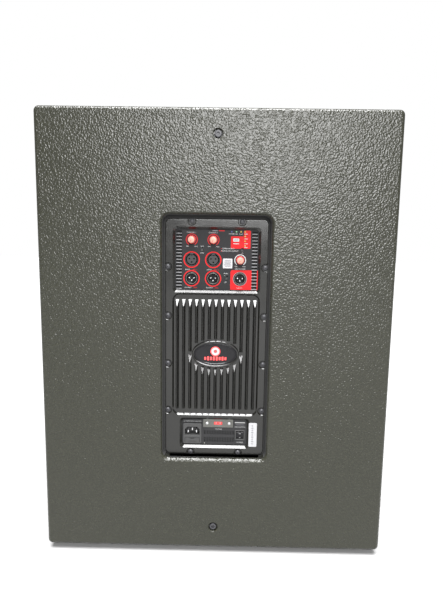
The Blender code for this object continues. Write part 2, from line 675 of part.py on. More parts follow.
def build_xlr_output(number, x):
    """Socket with an open well and three pins."""
    centre = (x, OUTPUT_ROW)
    front = SHEET_FRONT + 0.0006
    shoulder = SHEET_BACK - GAP
    profile = [(0.0, front - 0.0145), (0.0080, front - 0.0145), (0.0080, front + 0.0006), (0.0095, front + 0.0006),
               (0.0095, shoulder), (XLR_BODY_R, shoulder), (XLR_BODY_R, front - 0.0250), (0.0, front - 0.0250)]
    body = turned("body", profile, 20, centre)
    pins = []
    for angle in (200, 270, 340):
        spot = (x + 0.0040 * math.cos(math.radians(angle)), OUTPUT_ROW + 0.0040 * math.sin(math.radians(angle)))
        pins.append(loft("pin", [ring_y(oval(0.0012, 0.0012, 8, spot, 0.2), front - 0.0160),
                                 ring_y(oval(0.0012, 0.0012, 8, spot, 0.2), front - 0.0024),
                                 ring_y(oval(0.0007, 0.0007, 8, spot, 0.2), front - 0.0018)]))
    place("xlr_output_%d" % number, fused("body", body, pins), "zinc_plate")


def build_knob(name, x, z):
    """Knob with its shaft, ready to turn about its own axis."""
    base = SHEET_FRONT + 0.0005
    profile = [(0.0, base + 0.0120), (0.0048, base + 0.0120), (0.0054, base + 0.0113), (0.0058, base + 0.0060),
               (KNOB_R, base + 0.0020), (KNOB_R, base), (0.0030, base), (0.0030, base - 0.0140),
               (0.0, base - 0.0140)]
    place(name, turned("knob", profile, 16, (x, z)), "red_plastic", (x, base, z))


def build_slide_switch(number, x, z):
    """Lever of a small slide switch, shown at the lower end of its slot."""
    front = SHEET_FRONT
    lever = prism_y("lever", rect(x - 0.0017, x + 0.0017, z - 0.0014, z + 0.0014), front - 0.0060, front + 0.0016)
    place("slide_switch_%d" % number, lever, "bright_steel", (x, front, z))


def build_inlet():
    """Mains inlet with three blades over a fuse drawer."""
    x, z = IEC_CENTRE
    front = SHEET_FRONT + 0.0028
    flange = rounded_rect(IEC_BEZEL[0], IEC_BEZEL[1], 0.0022, 2, IEC_CENTRE)
    neck = rounded_rect(0.0280, 0.0310, 0.0010, 2, (x, 0.2032))
    body = loft("inlet", [ring_y(flange, front), ring_y(flange, SHEET_FRONT + GAP),
                          ring_y(neck, SHEET_FRONT + GAP), ring_y(neck, front - 0.0300)])
    top, low = IEC_WELL_Z + 0.0074, IEC_WELL_Z - 0.0074
    well = [(x - 0.0122, low), (x + 0.0122, low), (x + 0.0122, top - 0.0045), (x + 0.0080, top),
            (x - 0.0080, top), (x - 0.0122, top - 0.0045)]
    cutters = [prism_y("well", well, front - 0.0170, front + 0.002),
               prism_y("drawer", rect(x - 0.0123, x + 0.0123, FUSE_Z - 0.0046, FUSE_Z + 0.0046),
                       front - 0.0262, front + 0.002)]
    body = cut("inlet", body, cutters)
    blades = []
    for shift, rise in ((0.0, 0.0024), (0.0070, -0.0018), (-0.0070, -0.0018)):
        outline = rect(x + shift - 0.0010, x + shift + 0.0010, IEC_WELL_Z + rise - 0.0020, IEC_WELL_Z + rise + 0.0020)
        blades.append(prism_y("blade", outline, front - 0.0185, front - 0.0030))
    place("mains_inlet", fused("inlet", body, blades), "black_plastic")
    drawer = prism_y("fuse_drawer", rect(x - 0.0119, x + 0.0119, FUSE_Z - 0.0042, FUSE_Z + 0.0042),
                     front - 0.0255, front - 0.0004)
    place("fuse_drawer", drawer, "black_plastic", (x, front, FUSE_Z))


def build_selector():
    """Voltage selector: metal plate with a slot and the slider behind it."""
    x, z = SELECTOR
    plate = prism_y("plate", rect(x - 0.0250, x + 0.0250, z - 0.0071, z + 0.0071), SHEET_FRONT + GAP,
                    SHEET_FRONT + 0.0014)
    slot = prism_y("slot", rect(x - 0.0069, x + 0.0069, z - 0.0026, z + 0.0026), SHEET_FRONT - 0.001,
                   SHEET_FRONT + 0.003)
    place("voltage_selector_plate", cut("plate", plate, [slot]), "zinc_plate")
    slider = prism_y("slider", rect(x - 0.0115, x + 0.0090, z - 0.0036, z + 0.0036), SHEET_FRONT - 0.0050,
                     SHEET_FRONT - 0.0002)
    place("voltage_selector_slider", slider, "red_plastic", (x, SHEET_FRONT, z))


def build_rocker():
    """Power rocker in its bezel, shown pressed at its lower half."""
    x, z = ROCKER
    front = SHEET_FRONT + 0.0022
    outer = rounded_rect(0.0172, 0.0178, 0.0012, 2, ROCKER)
    body = rounded_rect(0.0148, 0.0156, 0.0008, 2, ROCKER)
    inner = rounded_rect(0.0124, 0.0142, 0.0006, 2, ROCKER)
    rings = [ring_y(inner, front - 0.0140), ring_y(inner, front), ring_y(outer, front),
             ring_y(outer, SHEET_FRONT + GAP), ring_y(body, SHEET_FRONT + GAP), ring_y(body, front - 0.0160)]
    place("rocker_bezel", loft("bezel", rings), "black_plastic")
    pivot = front - 0.0040
    side = [(6.1, 2.6), (0.0, 4.4), (-6.1, 2.6), (-5.4, -3.6), (-3.0, -5.2), (3.0, -5.2), (5.4, -3.6)]
    rings = []
    for edge in (x - 0.0059, x + 0.0059):
        ring = []
        for along, out in side:
            v = along * MM * math.cos(ROCKER_TILT) - out * MM * math.sin(ROCKER_TILT)
            y = along * MM * math.sin(ROCKER_TILT) + out * MM * math.cos(ROCKER_TILT)
            ring.append(Vector((edge, pivot + y, z + v)))
        rings.append(ring)
    place("power_rocker", loft("rocker", rings), "black_plastic", (x, pivot, z))


def build_amp_inside():
    """Rear cover, boards, transformer and fan."""
    back = 0.180
    rim = SHEET_BACK - 0.0010
    centre = (0, AMP_Z)
    outer = rounded_rect(0.1455, 0.3735, 0.003, 2, centre)
    inner = rounded_rect(0.1431, 0.3711, 0.0018, 2, centre)
    rings = [ring_y(inner, back + 0.0012), ring_y(inner, rim), ring_y(outer, rim), ring_y(outer, back)]
    place("amp_rear_cover", loft("cover", rings), "black_steel")
    place("input_board", box("board", -0.066, 0.066, 0.2800, 0.2816, 0.447, 0.545), "circuit_board")
    place("amplifier_board", box("board", -0.064, 0.064, 0.2960, 0.2976, 0.240, 0.436), "circuit_board")
    core = [(0.0140, 0.1830), (0.0460, 0.1830), (0.0500, 0.1900), (0.0500, 0.2230), (0.0460, 0.2300),
            (0.0140, 0.2300)]
    place("power_transformer", turned("core", core, 20, (0, 0.300)), "copper_coil")
    fan_z = 0.475
    ring = oval(0.0375, 0.0375, 24, (0, fan_z))
    frame = []
    for u, v in ring:
        reach = 0.0400 / max(abs(u), abs(v - fan_z))
        frame.append((u * reach, fan_z + (v - fan_z) * reach))
    rings = [ring_y(ring, 0.1850), ring_y(frame, 0.1850), ring_y(frame, 0.2100), ring_y(ring, 0.2100)]
    place("fan_frame", loft("fan", rings, closed=True), "black_plastic")
    hub = turned("hub", [(0.0, 0.1900), (0.0150, 0.1900), (0.0150, 0.2060), (0.0, 0.2060)], 14, (0, fan_z))
    blades = []
    for step in range(7):
        angle = 2 * math.pi * step / 7
        axis = Vector((math.cos(angle), 0, math.sin(angle)))
        across = Vector((-math.sin(angle), 0, math.cos(angle)))
        rings = []
        for reach, half in ((0.0135, 0.0045), (0.0350, 0.0075)):
            centre_point = Vector((0, 0.1980, fan_z)) + axis * reach
            ring = []
            for sign_a, sign_b in ((-1, -1), (1, -1), (1, 1), (-1, 1)):
                ring.append(centre_point + across * (sign_a * half + sign_b * 0.0004)
                            + Vector((0, sign_a * 0.0055 - sign_b * 0.0005, 0)))
            rings.append(ring)
        blades.append(loft("blade", rings))
    place("fan_rotor", fused("rotor", hub, blades), "black_plastic", (0, 0.1980, fan_z))


def main():
    """Build every part in the order it is put together."""
    clear_scene()
    build_top()
    build_bottom()
    build_side("left_side_panel", -1)
    build_side("right_side_panel", 1)
    build_back()
    build_inner_boards()
    build_handle(-1, "left")
    build_handle(1, "right")
    build_pole_socket()
    build_feet()
    build_bolts()
    build_grille()
    build_driver_frame()
    build_motor()
    build_moving_parts()
    build_faceplate()
    build_control_sheet()
    build_power_sheet()
    for number, x in enumerate((COLUMN_A, COLUMN_B), 1):
        build_xlr_input(number, x)
    for number, x in enumerate((COLUMN_A, COLUMN_B, COLUMN_C), 1):
        build_xlr_output(number, x)
    build_knob("gain_knob_1", COLUMN_A, KNOB_ROW)
    build_knob("gain_knob_2", COLUMN_B, KNOB_ROW)
    build_knob("crossover_knob", COLUMN_C, INPUT_ROW)
    for number, (x, z) in enumerate(SWITCHES, 1):
        build_slide_switch(number, x, z)
    build_inlet()
    build_selector()
    build_rocker()
    build_amp_inside()


main()
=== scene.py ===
"""Looks of the powered stage subwoofer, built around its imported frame.

The frame is in metres with +Z up. The grille faces -Y and the amplifier side faces +Y. On the
amplifier side a length called "right" counts towards the right hand of a person who stands
behind the cabinet, so it is the negative of X.
"""

import logging
import math
from dataclasses import dataclass, field
from enum import Enum
from typing import Any, Iterable, Mapping, Optional, Sequence, Union

import bmesh
import bpy
from mathutils import Matrix, Vector


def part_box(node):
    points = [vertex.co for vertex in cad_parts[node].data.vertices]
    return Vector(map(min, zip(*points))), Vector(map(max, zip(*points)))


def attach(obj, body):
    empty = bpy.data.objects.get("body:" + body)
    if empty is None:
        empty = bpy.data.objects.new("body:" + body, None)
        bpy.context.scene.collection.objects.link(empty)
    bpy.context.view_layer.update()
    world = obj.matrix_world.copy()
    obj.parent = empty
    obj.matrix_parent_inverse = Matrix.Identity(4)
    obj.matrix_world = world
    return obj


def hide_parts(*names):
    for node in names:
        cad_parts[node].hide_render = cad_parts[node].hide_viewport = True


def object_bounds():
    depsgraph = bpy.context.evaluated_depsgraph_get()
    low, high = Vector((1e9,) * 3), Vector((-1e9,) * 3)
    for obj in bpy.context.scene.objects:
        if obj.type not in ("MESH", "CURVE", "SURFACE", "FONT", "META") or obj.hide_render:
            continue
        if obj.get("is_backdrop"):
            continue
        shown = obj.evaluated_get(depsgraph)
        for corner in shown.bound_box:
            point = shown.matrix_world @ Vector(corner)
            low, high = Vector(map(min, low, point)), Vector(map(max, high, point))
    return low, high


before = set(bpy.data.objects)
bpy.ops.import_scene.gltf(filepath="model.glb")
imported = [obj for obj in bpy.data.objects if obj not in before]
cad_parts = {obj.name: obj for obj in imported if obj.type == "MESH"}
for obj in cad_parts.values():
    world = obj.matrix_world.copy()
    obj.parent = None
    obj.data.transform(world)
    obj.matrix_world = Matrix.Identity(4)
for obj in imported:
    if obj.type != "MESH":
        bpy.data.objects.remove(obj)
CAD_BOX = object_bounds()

LOG = logging.getLogger("subwoofer")
MM = 0.001
CABINET_BODY = "cabinet"

Pair = tuple[float, float]
Outline = list[Pair]
Ring = list[Vector]
Colour = tuple[float, float, float]
Value = Union["Wire", float]


# Shader arithmetic


class Wire:
    """An output socket that takes part in arithmetic; each operator adds one Math node."""

    def __init__(self, graph: "Graph", socket: bpy.types.NodeSocket) -> None:
        """Remember the socket and the graph that it belongs to."""
        self.graph = graph
        self.socket = socket

    def _maths(self, operation: str, first: Value, second: Value) -> "Wire":
        """Add the Math node of one operator."""
        return self.graph.node("ShaderNodeMath", {"operation": operation}, {0: first, 1: second})

    def __add__(self, other: Value) -> "Wire":
        """Sum."""
        return self._maths("ADD", self, other)

    __radd__ = __add__

    def __sub__(self, other: Value) -> "Wire":
        """Difference."""
        return self._maths("SUBTRACT", self, other)

    def __rsub__(self, other: Value) -> "Wire":
        """Difference with the wire as what is taken away."""
        return self._maths("SUBTRACT", other, self)

    def __mul__(self, other: Value) -> "Wire":
        """Product."""
        return self._maths("MULTIPLY", self, other)

    __rmul__ = __mul__


class Graph:
    """The node tree of one material."""

    def __init__(self, name: str) -> None:
        """Make an empty material with its shader.

        Args:
            name: name of the material.
        """
        self.material = bpy.data.materials.new(name)
        self.material.use_nodes = True
        self.tree = self.material.node_tree
        self.tree.nodes.clear()
        self.output = self.tree.nodes.new("ShaderNodeOutputMaterial")
        self.point = self.node("ShaderNodeTexCoord", {}, {}, "Object")

    def node(self, kind: str, settings: Mapping[str, Any], sockets: Mapping[Union[int, str], Any],
             out: Union[int, str] = 0) -> Wire:
        """Add any node.

        Args:
            kind: type of the node.
            settings: properties that are set first.
            sockets: value or wire of each input.
            out: which output is handed back.

        Returns:
            The chosen output.
        """
        made = self.tree.nodes.new(kind)
        for name, value in settings.items():
            setattr(made, name, value)
        for key, value in sockets.items():
            if isinstance(value, Wire):
                self.tree.links.new(value.socket, made.inputs[key])
            elif isinstance(value, tuple) and made.inputs[key].type == "RGBA":
                made.inputs[key].default_value = (*value, 1.0)
            else:
                made.inputs[key].default_value = value
        return Wire(self, made.outputs[out])

    def noise(self, grain: float, detail: float = 2.0, point: Optional[Wire] = None) -> Wire:
        """Cloudy noise.

        Args:
            grain: size of its blobs in metres.
            detail: how many finer layers are added.
            point: where it is read, if not in plain object space.

        Returns:
            The noise, about 0 to 1.
        """
        return self.node("ShaderNodeTexNoise", {}, {
            "Vector": point or self.point, "Scale": 1.0 / grain, "Detail": detail, "Roughness": 0.55})

    def cells(self, grain: float) -> Wire:
        """Distance to the nearest of scattered points that lie about a grain apart."""
        return self.node("ShaderNodeTexVoronoi", {"feature": "SMOOTH_F1"}, {
            "Vector": self.point, "Scale": 1.0 / grain, "Smoothness": 0.6})

    def scaled(self, x: float, y: float, z: float) -> Wire:
        """Object space stretched along its axes."""
        return self.node("ShaderNodeVectorMath", {"operation": "MULTIPLY"}, {
            0: self.point, 1: (x, y, z)})

    def span(self, value: Wire, low: float, high: float) -> Wire:
        """Value stretched so that low gives 0 and high gives 1, and held between them."""
        return self.node("ShaderNodeMapRange", {"clamp": True}, {
            "Value": value, "From Min": low, "From Max": high})

    def mix(self, share: Value, first: Any, second: Any) -> Wire:
        """Mix two colours.

        Args:
            share: how much of the second shows.
            first: colour or wire.
            second: colour or wire.

        Returns:
            The mixed colour.
        """
        return self.node("ShaderNodeMix", {"data_type": "RGBA"}, {
            0: share, 6: first, 7: second}, 2)

    def surface(self, colour: Any, roughness: Value, metallic: float = 0.0,
                bumps: Sequence[tuple[Wire, float]] = (), **fixed: Any) -> None:
        """Feed the shader.

        Args:
            colour: base colour.
            roughness: roughness.
            metallic: how metallic it is, the same all over.
            bumps: height and depth in metres of each relief, coarsest first.
            fixed: other sockets of the shader, with underscores for spaces.
        """
        sockets: dict[Union[int, str], Any] = {
            "Base Color": colour, "Roughness": roughness, "Metallic": metallic}
        for name, value in fixed.items():
            sockets[name.replace("_", " ")] = value
        normal: Optional[Wire] = None
        for height, depth in bumps:
            relief: dict[Union[int, str], Any] = {"Height": height, "Distance": depth, "Strength": 1.0}
            if normal is not None:
                relief["Normal"] = normal
            normal = self.node("ShaderNodeBump", {}, relief)
        if normal is not None:
            sockets["Normal"] = normal
        shader = self.node("ShaderNodeBsdfPrincipled", {}, sockets)
        self.tree.links.new(shader.socket, self.output.inputs["Surface"])


# Finishes


@dataclass(frozen=True)
class Finish:
    """What every finish has: the record's slot and a base colour."""

    slot: str
    colour: Colour

    def lay(self, graph: Graph) -> None:
        """Build the nodes; each finish has its own."""
        raise NotImplementedError

    def shade(self, factor: float) -> Colour:
        """The base colour made lighter or darker."""
        red, green, blue = self.colour
        return (min(red * factor, 1.0), min(green * factor, 1.0), min(blue * factor, 1.0))


@dataclass(frozen=True)
class PebbledPaint(Finish):
    """Thick sprayed paint that dries in pebbles."""

    grain: float = 2.3 * MM
    relief: float = 1.1 * MM

    def lay(self, graph: Graph) -> None:
        """Pebbles with finer spatter between them, and slow drifts in colour and gloss."""
        warp = graph.noise(9 * MM, 1.0)
        coarse = graph.noise(self.grain, 0.0)
        pebble = 1.0 - graph.cells(self.grain * 1.15)
        drift = graph.noise(0.16, 3.0)
        height = coarse * 0.55 + pebble * 0.45 + warp * 0.1
        crest = graph.span(height, 0.50, 0.82)
        tint = graph.mix(crest, self.shade(0.80), self.shade(1.25))
        tint = graph.mix(drift * 0.35, tint, self.shade(1.15))
        rough = 0.25 + drift * 0.10 - crest * 0.04
        graph.surface(tint, rough, 0.0, [(height, self.relief)], Specular_IOR_Level=0.42)


@dataclass(frozen=True)
class CastPaint(Finish):
    """Satin paint over a casting, with a faint sandy grain."""

    rough: float = 0.42

    def lay(self, graph: Graph) -> None:
        """Sand grain in the relief and soft blotches in the colour."""
        sand = graph.noise(0.9 * MM, 2.0)
        blotch = graph.noise(0.03, 3.0)
        tint = graph.mix(graph.span(blotch, 0.3, 0.75), self.shade(0.88), self.shade(1.16))
        tint = graph.mix(sand * 0.25, tint, self.shade(1.5))
        rough = self.rough - 0.06 + blotch * 0.12
        graph.surface(tint, rough, 0.0, [(sand, 0.03 * MM)], Specular_IOR_Level=0.58)


@dataclass(frozen=True)
class CoatedSheet(Finish):
    """Powder coat on sheet metal."""

    rough: float = 0.55

    def lay(self, graph: Graph) -> None:
        """Fine orange peel with dust in the hollows."""
        peel = graph.noise(0.55 * MM, 2.0)
        dust = graph.noise(0.02, 4.0)
        tint = graph.mix(graph.span(peel, 0.35, 0.7), self.shade(0.75), self.shade(1.25))
        tint = graph.mix(graph.span(dust, 0.45, 0.85) * 0.06, tint, (0.10, 0.095, 0.09))
        graph.surface(tint, self.rough + dust * 0.12 - 0.06, 0.0, [(peel, 0.04 * MM)],
                      Specular_IOR_Level=0.2)


@dataclass(frozen=True)
class Moulded(Finish):
    """Moulded plastic."""

    rough: float = 0.45
    relief: float = 0.03 * MM
    gloss: float = 0.35

    def lay(self, graph: Graph) -> None:
        """Spark-eroded grain and slight flow marks."""
        grain = graph.noise(0.7 * MM, 2.0)
        flow = graph.noise(0.012, 2.0, graph.scaled(1.0, 1.0, 0.4))
        tint = graph.mix(graph.span(flow, 0.3, 0.8), self.shade(0.85), self.shade(1.2))
        graph.surface(tint, self.rough - 0.05 + grain * 0.12, 0.0, [(grain, self.relief)],
                      Specular_IOR_Level=self.gloss)


@dataclass(frozen=True)
class Metal(Finish):
    """Bare, plated or blackened metal with its drawing lines."""

    rough: float = 0.32
    metallic: float = 1.0

    def lay(self, graph: Graph) -> None:
        """Drawn lines in the roughness and relief, and a patchy tarnish."""
        lines = graph.noise(0.35 * MM, 2.0, graph.scaled(0.12, 1.0, 1.0))
        patch = graph.noise(6 * MM, 3.0)
        tint = graph.mix(graph.span(patch, 0.35, 0.8), self.shade(1.05), self.shade(0.78))
        rough = self.rough - 0.06 + lines * 0.12 + patch * 0.06
        graph.surface(tint, rough, self.metallic, [(lines, 0.01 * MM)])


@dataclass(frozen=True)
class Ink(Finish):
    """Screen-printed ink or a pale label."""

    rough: float = 0.55

    def lay(self, graph: Graph) -> None:
        """Ink that lies a little thinner here and there."""
        thin = graph.noise(1.2 * MM, 3.0)
        tint = graph.mix(graph.span(thin, 0.35, 0.75), self.shade(0.82), self.shade(1.08))
        graph.surface(tint, self.rough + thin * 0.1, 0.0, [(thin, 0.01 * MM)], Specular_IOR_Level=0.2)


@dataclass(frozen=True)
class Soft(Finish):
    """Rubber, foam or felt-like board: matt with a deep grain."""

    grain: float = 1.2 * MM
    relief: float = 0.15 * MM
    rough: float = 0.85
    gloss: float = 0.15

    def lay(self, graph: Graph) -> None:
        """Open grain with a dusty bloom."""
        pores = graph.cells(self.grain)
        cloud = graph.noise(0.02, 3.0)
        tint = graph.mix(graph.span(pores, 0.1, 0.7), self.shade(0.6), self.shade(1.4))
        tint = graph.mix(cloud * 0.2, tint, self.shade(2.0))
        graph.surface(tint, self.rough + cloud * 0.1 - 0.05, 0.0, [(pores, self.relief)],
                      Specular_IOR_Level=self.gloss)


@dataclass(frozen=True)
class PaperPulp(Finish):
    """Pressed paper cone with long fibres."""

    def lay(self, graph: Graph) -> None:
        """Fibres in two directions."""
        fibre = graph.noise(1.0 * MM, 3.0, graph.scaled(0.25, 1.0, 1.0))
        cross = graph.noise(1.4 * MM, 2.0, graph.scaled(1.0, 1.0, 0.25))
        felt = fibre * 0.6 + cross * 0.4
        tint = graph.mix(graph.span(felt, 0.35, 0.7), self.shade(0.7), self.shade(1.5))
        graph.surface(tint, 0.82 + felt * 0.1, 0.0, [(felt, 0.12 * MM)])


@dataclass(frozen=True)
class Laminate(Finish):
    """Circuit board with copper tracks under the mask."""

    def lay(self, graph: Graph) -> None:
        """Square-cornered tracks and a few pads."""
        tracks = graph.node("ShaderNodeTexVoronoi", {"distance": "MANHATTAN", "feature": "F1"}, {
            "Vector": graph.point, "Scale": 1.0 / (5 * MM)})
        line = graph.span(tracks, 0.52, 0.60)
        pad = 1.0 - graph.span(tracks, 0.10, 0.14)
        tint = graph.mix(line, self.shade(0.8), self.shade(1.7))
        tint = graph.mix(pad, tint, (0.55, 0.50, 0.40))
        graph.surface(tint, 0.35 + pad * 0.1, 0.0, [(line + pad, 0.05 * MM)])


@dataclass(frozen=True)
class Winding(Finish):
    """Enamelled wire wound side by side."""

    pitch: float = 1.1 * MM

    def lay(self, graph: Graph) -> None:
        """Round turns lying side by side, with a varnish that varies."""
        turns = graph.node("ShaderNodeTexWave", {"wave_type": "BANDS", "bands_direction": "Y"}, {
            "Vector": graph.point, "Scale": 0.314 / self.pitch, "Distortion": 0.3})
        varnish = graph.noise(8 * MM, 2.0)
        tint = graph.mix(graph.span(turns, 0.0, 0.7), self.shade(0.4), self.shade(1.1))
        graph.surface(tint, 0.30 + varnish * 0.2, 0.8, [(turns, 0.25 * MM)])


@dataclass(frozen=True)
class Lens(Finish):
    """Small lamp lens that glows a little."""

    glow: float = 0.06

    def lay(self, graph: Graph) -> None:
        """Clear plastic with a brighter middle."""
        cloud = graph.noise(0.8 * MM, 2.0)
        tint = graph.mix(cloud, self.shade(0.7), self.shade(1.2))
        graph.surface(tint, 0.18 + cloud * 0.1, 0.0, [(cloud, 0.01 * MM)],
                      Emission_Color=tint, Emission_Strength=self.glow)


class Look(Enum):
    """Every finish of the subwoofer."""

    CABINET = PebbledPaint("cabinet_paint", (0.019, 0.0195, 0.013))
    CASTING = CastPaint("cast_alloy", (0.006, 0.006, 0.005), 0.22)
    PANEL = CoatedSheet("panel_print", (0.009, 0.009, 0.010))
    BLACK_PLASTIC = Moulded("black_plastic", (0.016, 0.016, 0.017))
    DARK_GLOSS = Moulded("black_plastic", (0.007, 0.007, 0.008), 0.22, 0.005 * MM, 0.25)
    GREY_INSERT = Moulded("black_plastic", (0.018, 0.018, 0.019), 0.5)
    RED_PLASTIC = Moulded("red_plastic", (0.250, 0.008, 0.009), 0.35)
    CREAM_CAP = Moulded("red_plastic", (0.330, 0.190, 0.145), 0.35, 0.01 * MM)
    BLACK_STEEL = Metal("black_steel", (0.090, 0.090, 0.088), 0.20, 0.85)
    COATED_STEEL = CoatedSheet("black_steel", (0.022, 0.022, 0.023), 0.5)
    BRIGHT_STEEL = Metal("bright_steel", (0.60, 0.59, 0.56), 0.25)
    ZINC = Metal("zinc_plate", (0.15, 0.15, 0.14), 0.34)
    # Lighter copy of the panel's coat for the rolled lips under the air slots: their light colour is a
    # painted highlight.
    LIT_LOUVRE = CoatedSheet("panel_print", (0.15, 0.15, 0.155), 0.45)
    RUBBER = Soft("rubber", (0.016, 0.016, 0.016))
    # Matt black foam; also laid as painted shade on the opening's edge, the mounting frame and the sheets
    # behind the air slots.
    FOAM = Soft("foam", (0.003, 0.003, 0.003), 2.2 * MM, 0.6 * MM, 0.95, 0.0)
    CONE = PaperPulp("paper_cone", (0.022, 0.022, 0.022))
    FERRITE = Soft("ferrite", (0.035, 0.035, 0.037), 0.8 * MM, 0.06 * MM, 0.6)
    BOARD = Laminate("circuit_board", (0.014, 0.110, 0.045))
    COPPER = Winding("copper_coil", (0.62, 0.26, 0.12))
    WHITE_INK = Ink("panel_print", (0.36, 0.36, 0.36))
    RED_INK = Ink("red_plastic", (0.400, 0.005, 0.007))
    GREY_INK = Ink("panel_print", (0.15, 0.15, 0.16))
    LABEL = Ink("panel_print", (0.36, 0.36, 0.37), 0.4)
    GREEN_LAMP = Lens("panel_print", (0.12, 0.28, 0.15))
    AMBER_LAMP = Lens("panel_print", (0.36, 0.24, 0.06))
    DARK_LAMP = Lens("panel_print", (0.05, 0.06, 0.16), 0.0)

    def material(self) -> bpy.types.Material:
        """The finish's material, made the first time that it is asked for."""
        name = self.name.lower()
        found = bpy.data.materials.get(name)
        if found is None:
            graph = Graph(name)
            self.value.lay(graph)
            found = graph.material
        return found


# Outlines and shapes


class Axis(Enum):
    """Axis that a section is stood across."""

    X = 0
    Y = 1
    Z = 2

    def point(self, across: float, up: float, along: float) -> Vector:
        """Put one point of a section at a place along the axis."""
        values = [across, up]
        values.insert(self.value, along)
        return Vector(values)

    def ring(self, outline: Outline, along: float) -> Ring:
        """Stand a whole outline across the axis."""
        return [self.point(across, up, along) for across, up in outline]


def rounded_rect(width: float, height: float, radius: float, steps: int = 5,
                 centre: Pair = (0.0, 0.0)) -> Outline:
    """Outline of a rectangle with round corners.

    Args:
        width: full width.
        height: full height.
        radius: radius of its corners.
        steps: facets of each corner.
        centre: its middle.

    Returns:
        The points in order.
    """
    points = []
    for side_u, side_v, start in ((1, 1, 0), (-1, 1, 90), (-1, -1, 180), (1, -1, 270)):
        mid_u = centre[0] + side_u * (width / 2 - radius)
        mid_v = centre[1] + side_v * (height / 2 - radius)
        for step in range(steps + 1):
            angle = math.radians(start + 90.0 * step / steps)
            points.append((mid_u + radius * math.cos(angle), mid_v + radius * math.sin(angle)))
    return points


def oval(half_u: float, half_v: float, count: int = 32, centre: Pair = (0.0, 0.0)) -> Outline:
    """Outline of an ellipse or a circle.

    Args:
        half_u: half of its width.
        half_v: half of its height.
        count: number of points.
        centre: its middle.

    Returns:
        The points in order.
    """
    points = []
    for step in range(count):
        angle = 2 * math.pi * step / count
        points.append((centre[0] + half_u * math.cos(angle), centre[1] + half_v * math.sin(angle)))
    return points


def rect(u0: float, u1: float, v0: float, v1: float) -> Outline:
    """Outline of a plain rectangle."""
    return [(u0, v0), (u1, v0), (u1, v1), (u0, v1)]


def quarter(steps: int) -> Iterable[Pair]:
    """Sine and cosine of the steps of a quarter turn."""
    for step in range(steps + 1):
        angle = math.pi / 2 * step / steps
        yield math.sin(angle), math.cos(angle)


class Shape:
    """A mesh in the making. Every method adds closed geometry and hands the shape back."""

    def __init__(self) -> None:
        """Start with nothing; new faces take the look of number coat."""
        self.data = bmesh.new()
        self.coat = 0

    def paint(self, coat: int) -> "Shape":
        """Choose the look that the next faces take."""
        self.coat = coat
        return self

    def _face(self, corners: Sequence[bmesh.types.BMVert]) -> None:
        """Add one face with the present look."""
        self.data.faces.new(corners).material_index = self.coat

    def loft(self, rings: Sequence[Ring], closed: bool = False) -> "Shape":
        """Skin a row of equal rings.

        Args:
            rings: sections in order.
            closed: join the last ring to the first instead of capping both.

        Returns:
            The shape itself.
        """
        made = [[self.data.verts.new(point) for point in ring] for ring in rings]
        count = len(rings[0])
        pairs = list(zip(made, made[1:]))
        if closed:
            pairs.append((made[-1], made[0]))
        else:
            self._face(made[0])
            self._face(made[-1])
        for low, high in pairs:
            for step in range(count):
                after = (step + 1) % count
                self._face((low[step], low[after], high[after], high[step]))
        return self

    def prism(self, outline: Outline, low: float, high: float, axis: Axis = Axis.Y) -> "Shape":
        """Straight piece between two places along an axis."""
        return self.loft([axis.ring(outline, low), axis.ring(outline, high)])

    def lathe(self, profile: Sequence[Pair], centre: Pair = (0.0, 0.0), count: int = 40,
              axis: Axis = Axis.Y) -> "Shape":
        """Spin a profile that closes on itself.

        Args:
            profile: (radius, place along the axis) points.
            centre: where the axis passes.
            count: facets of one turn.
            axis: axis of the spin.

        Returns:
            The shape itself.
        """
        rings = []
        for radius, along in profile:
            outline = oval(radius, radius, count, centre) if radius > 1e-9 else [centre]
            rings.append([self.data.verts.new(point) for point in axis.ring(outline, along)])
        for index, low in enumerate(rings):
            high = rings[(index + 1) % len(rings)]
            for step in range(count):
                after = (step + 1) % count
                if len(low) == 1 and len(high) == 1:
                    continue
                if len(low) == 1:
                    self._face((low[0], high[after], high[step]))
                elif len(high) == 1:
                    self._face((low[step], low[after], high[0]))
                else:
                    self._face((low[step], low[after], high[after], high[step]))
        return self

    def add_mesh(self, mesh: bpy.types.Mesh, move: Optional[Matrix] = None) -> "Shape":
        """Take in a mesh.

        Args:
            mesh: the mesh, which is left as it is.
            move: where it goes.

        Returns:
            The shape itself.
        """
        before = len(self.data.verts)
        faces = len(self.data.faces)
        self.data.from_mesh(mesh)
        self.data.verts.ensure_lookup_table()
        self.data.faces.ensure_lookup_table()
        if move is not None:
            bmesh.ops.transform(self.data, matrix=move, verts=self.data.verts[before:])
        if self.coat:
            for face in self.data.faces[faces:]:
                face.material_index += self.coat
        return self

    def add(self, other: "Shape", move: Optional[Matrix] = None) -> "Shape":
        """Take in a copy of another shape, moved if asked."""
        mesh = other.mesh("copy")
        self.add_mesh(mesh, move)
        bpy.data.meshes.remove(mesh)
        return self

    def mesh(self, name: str) -> bpy.types.Mesh:
        """Write the shape out as a mesh whose faces all look outward."""
        bmesh.ops.recalc_face_normals(self.data, faces=self.data.faces)
        mesh = bpy.data.meshes.new(name)
        self.data.to_mesh(mesh)
        return mesh


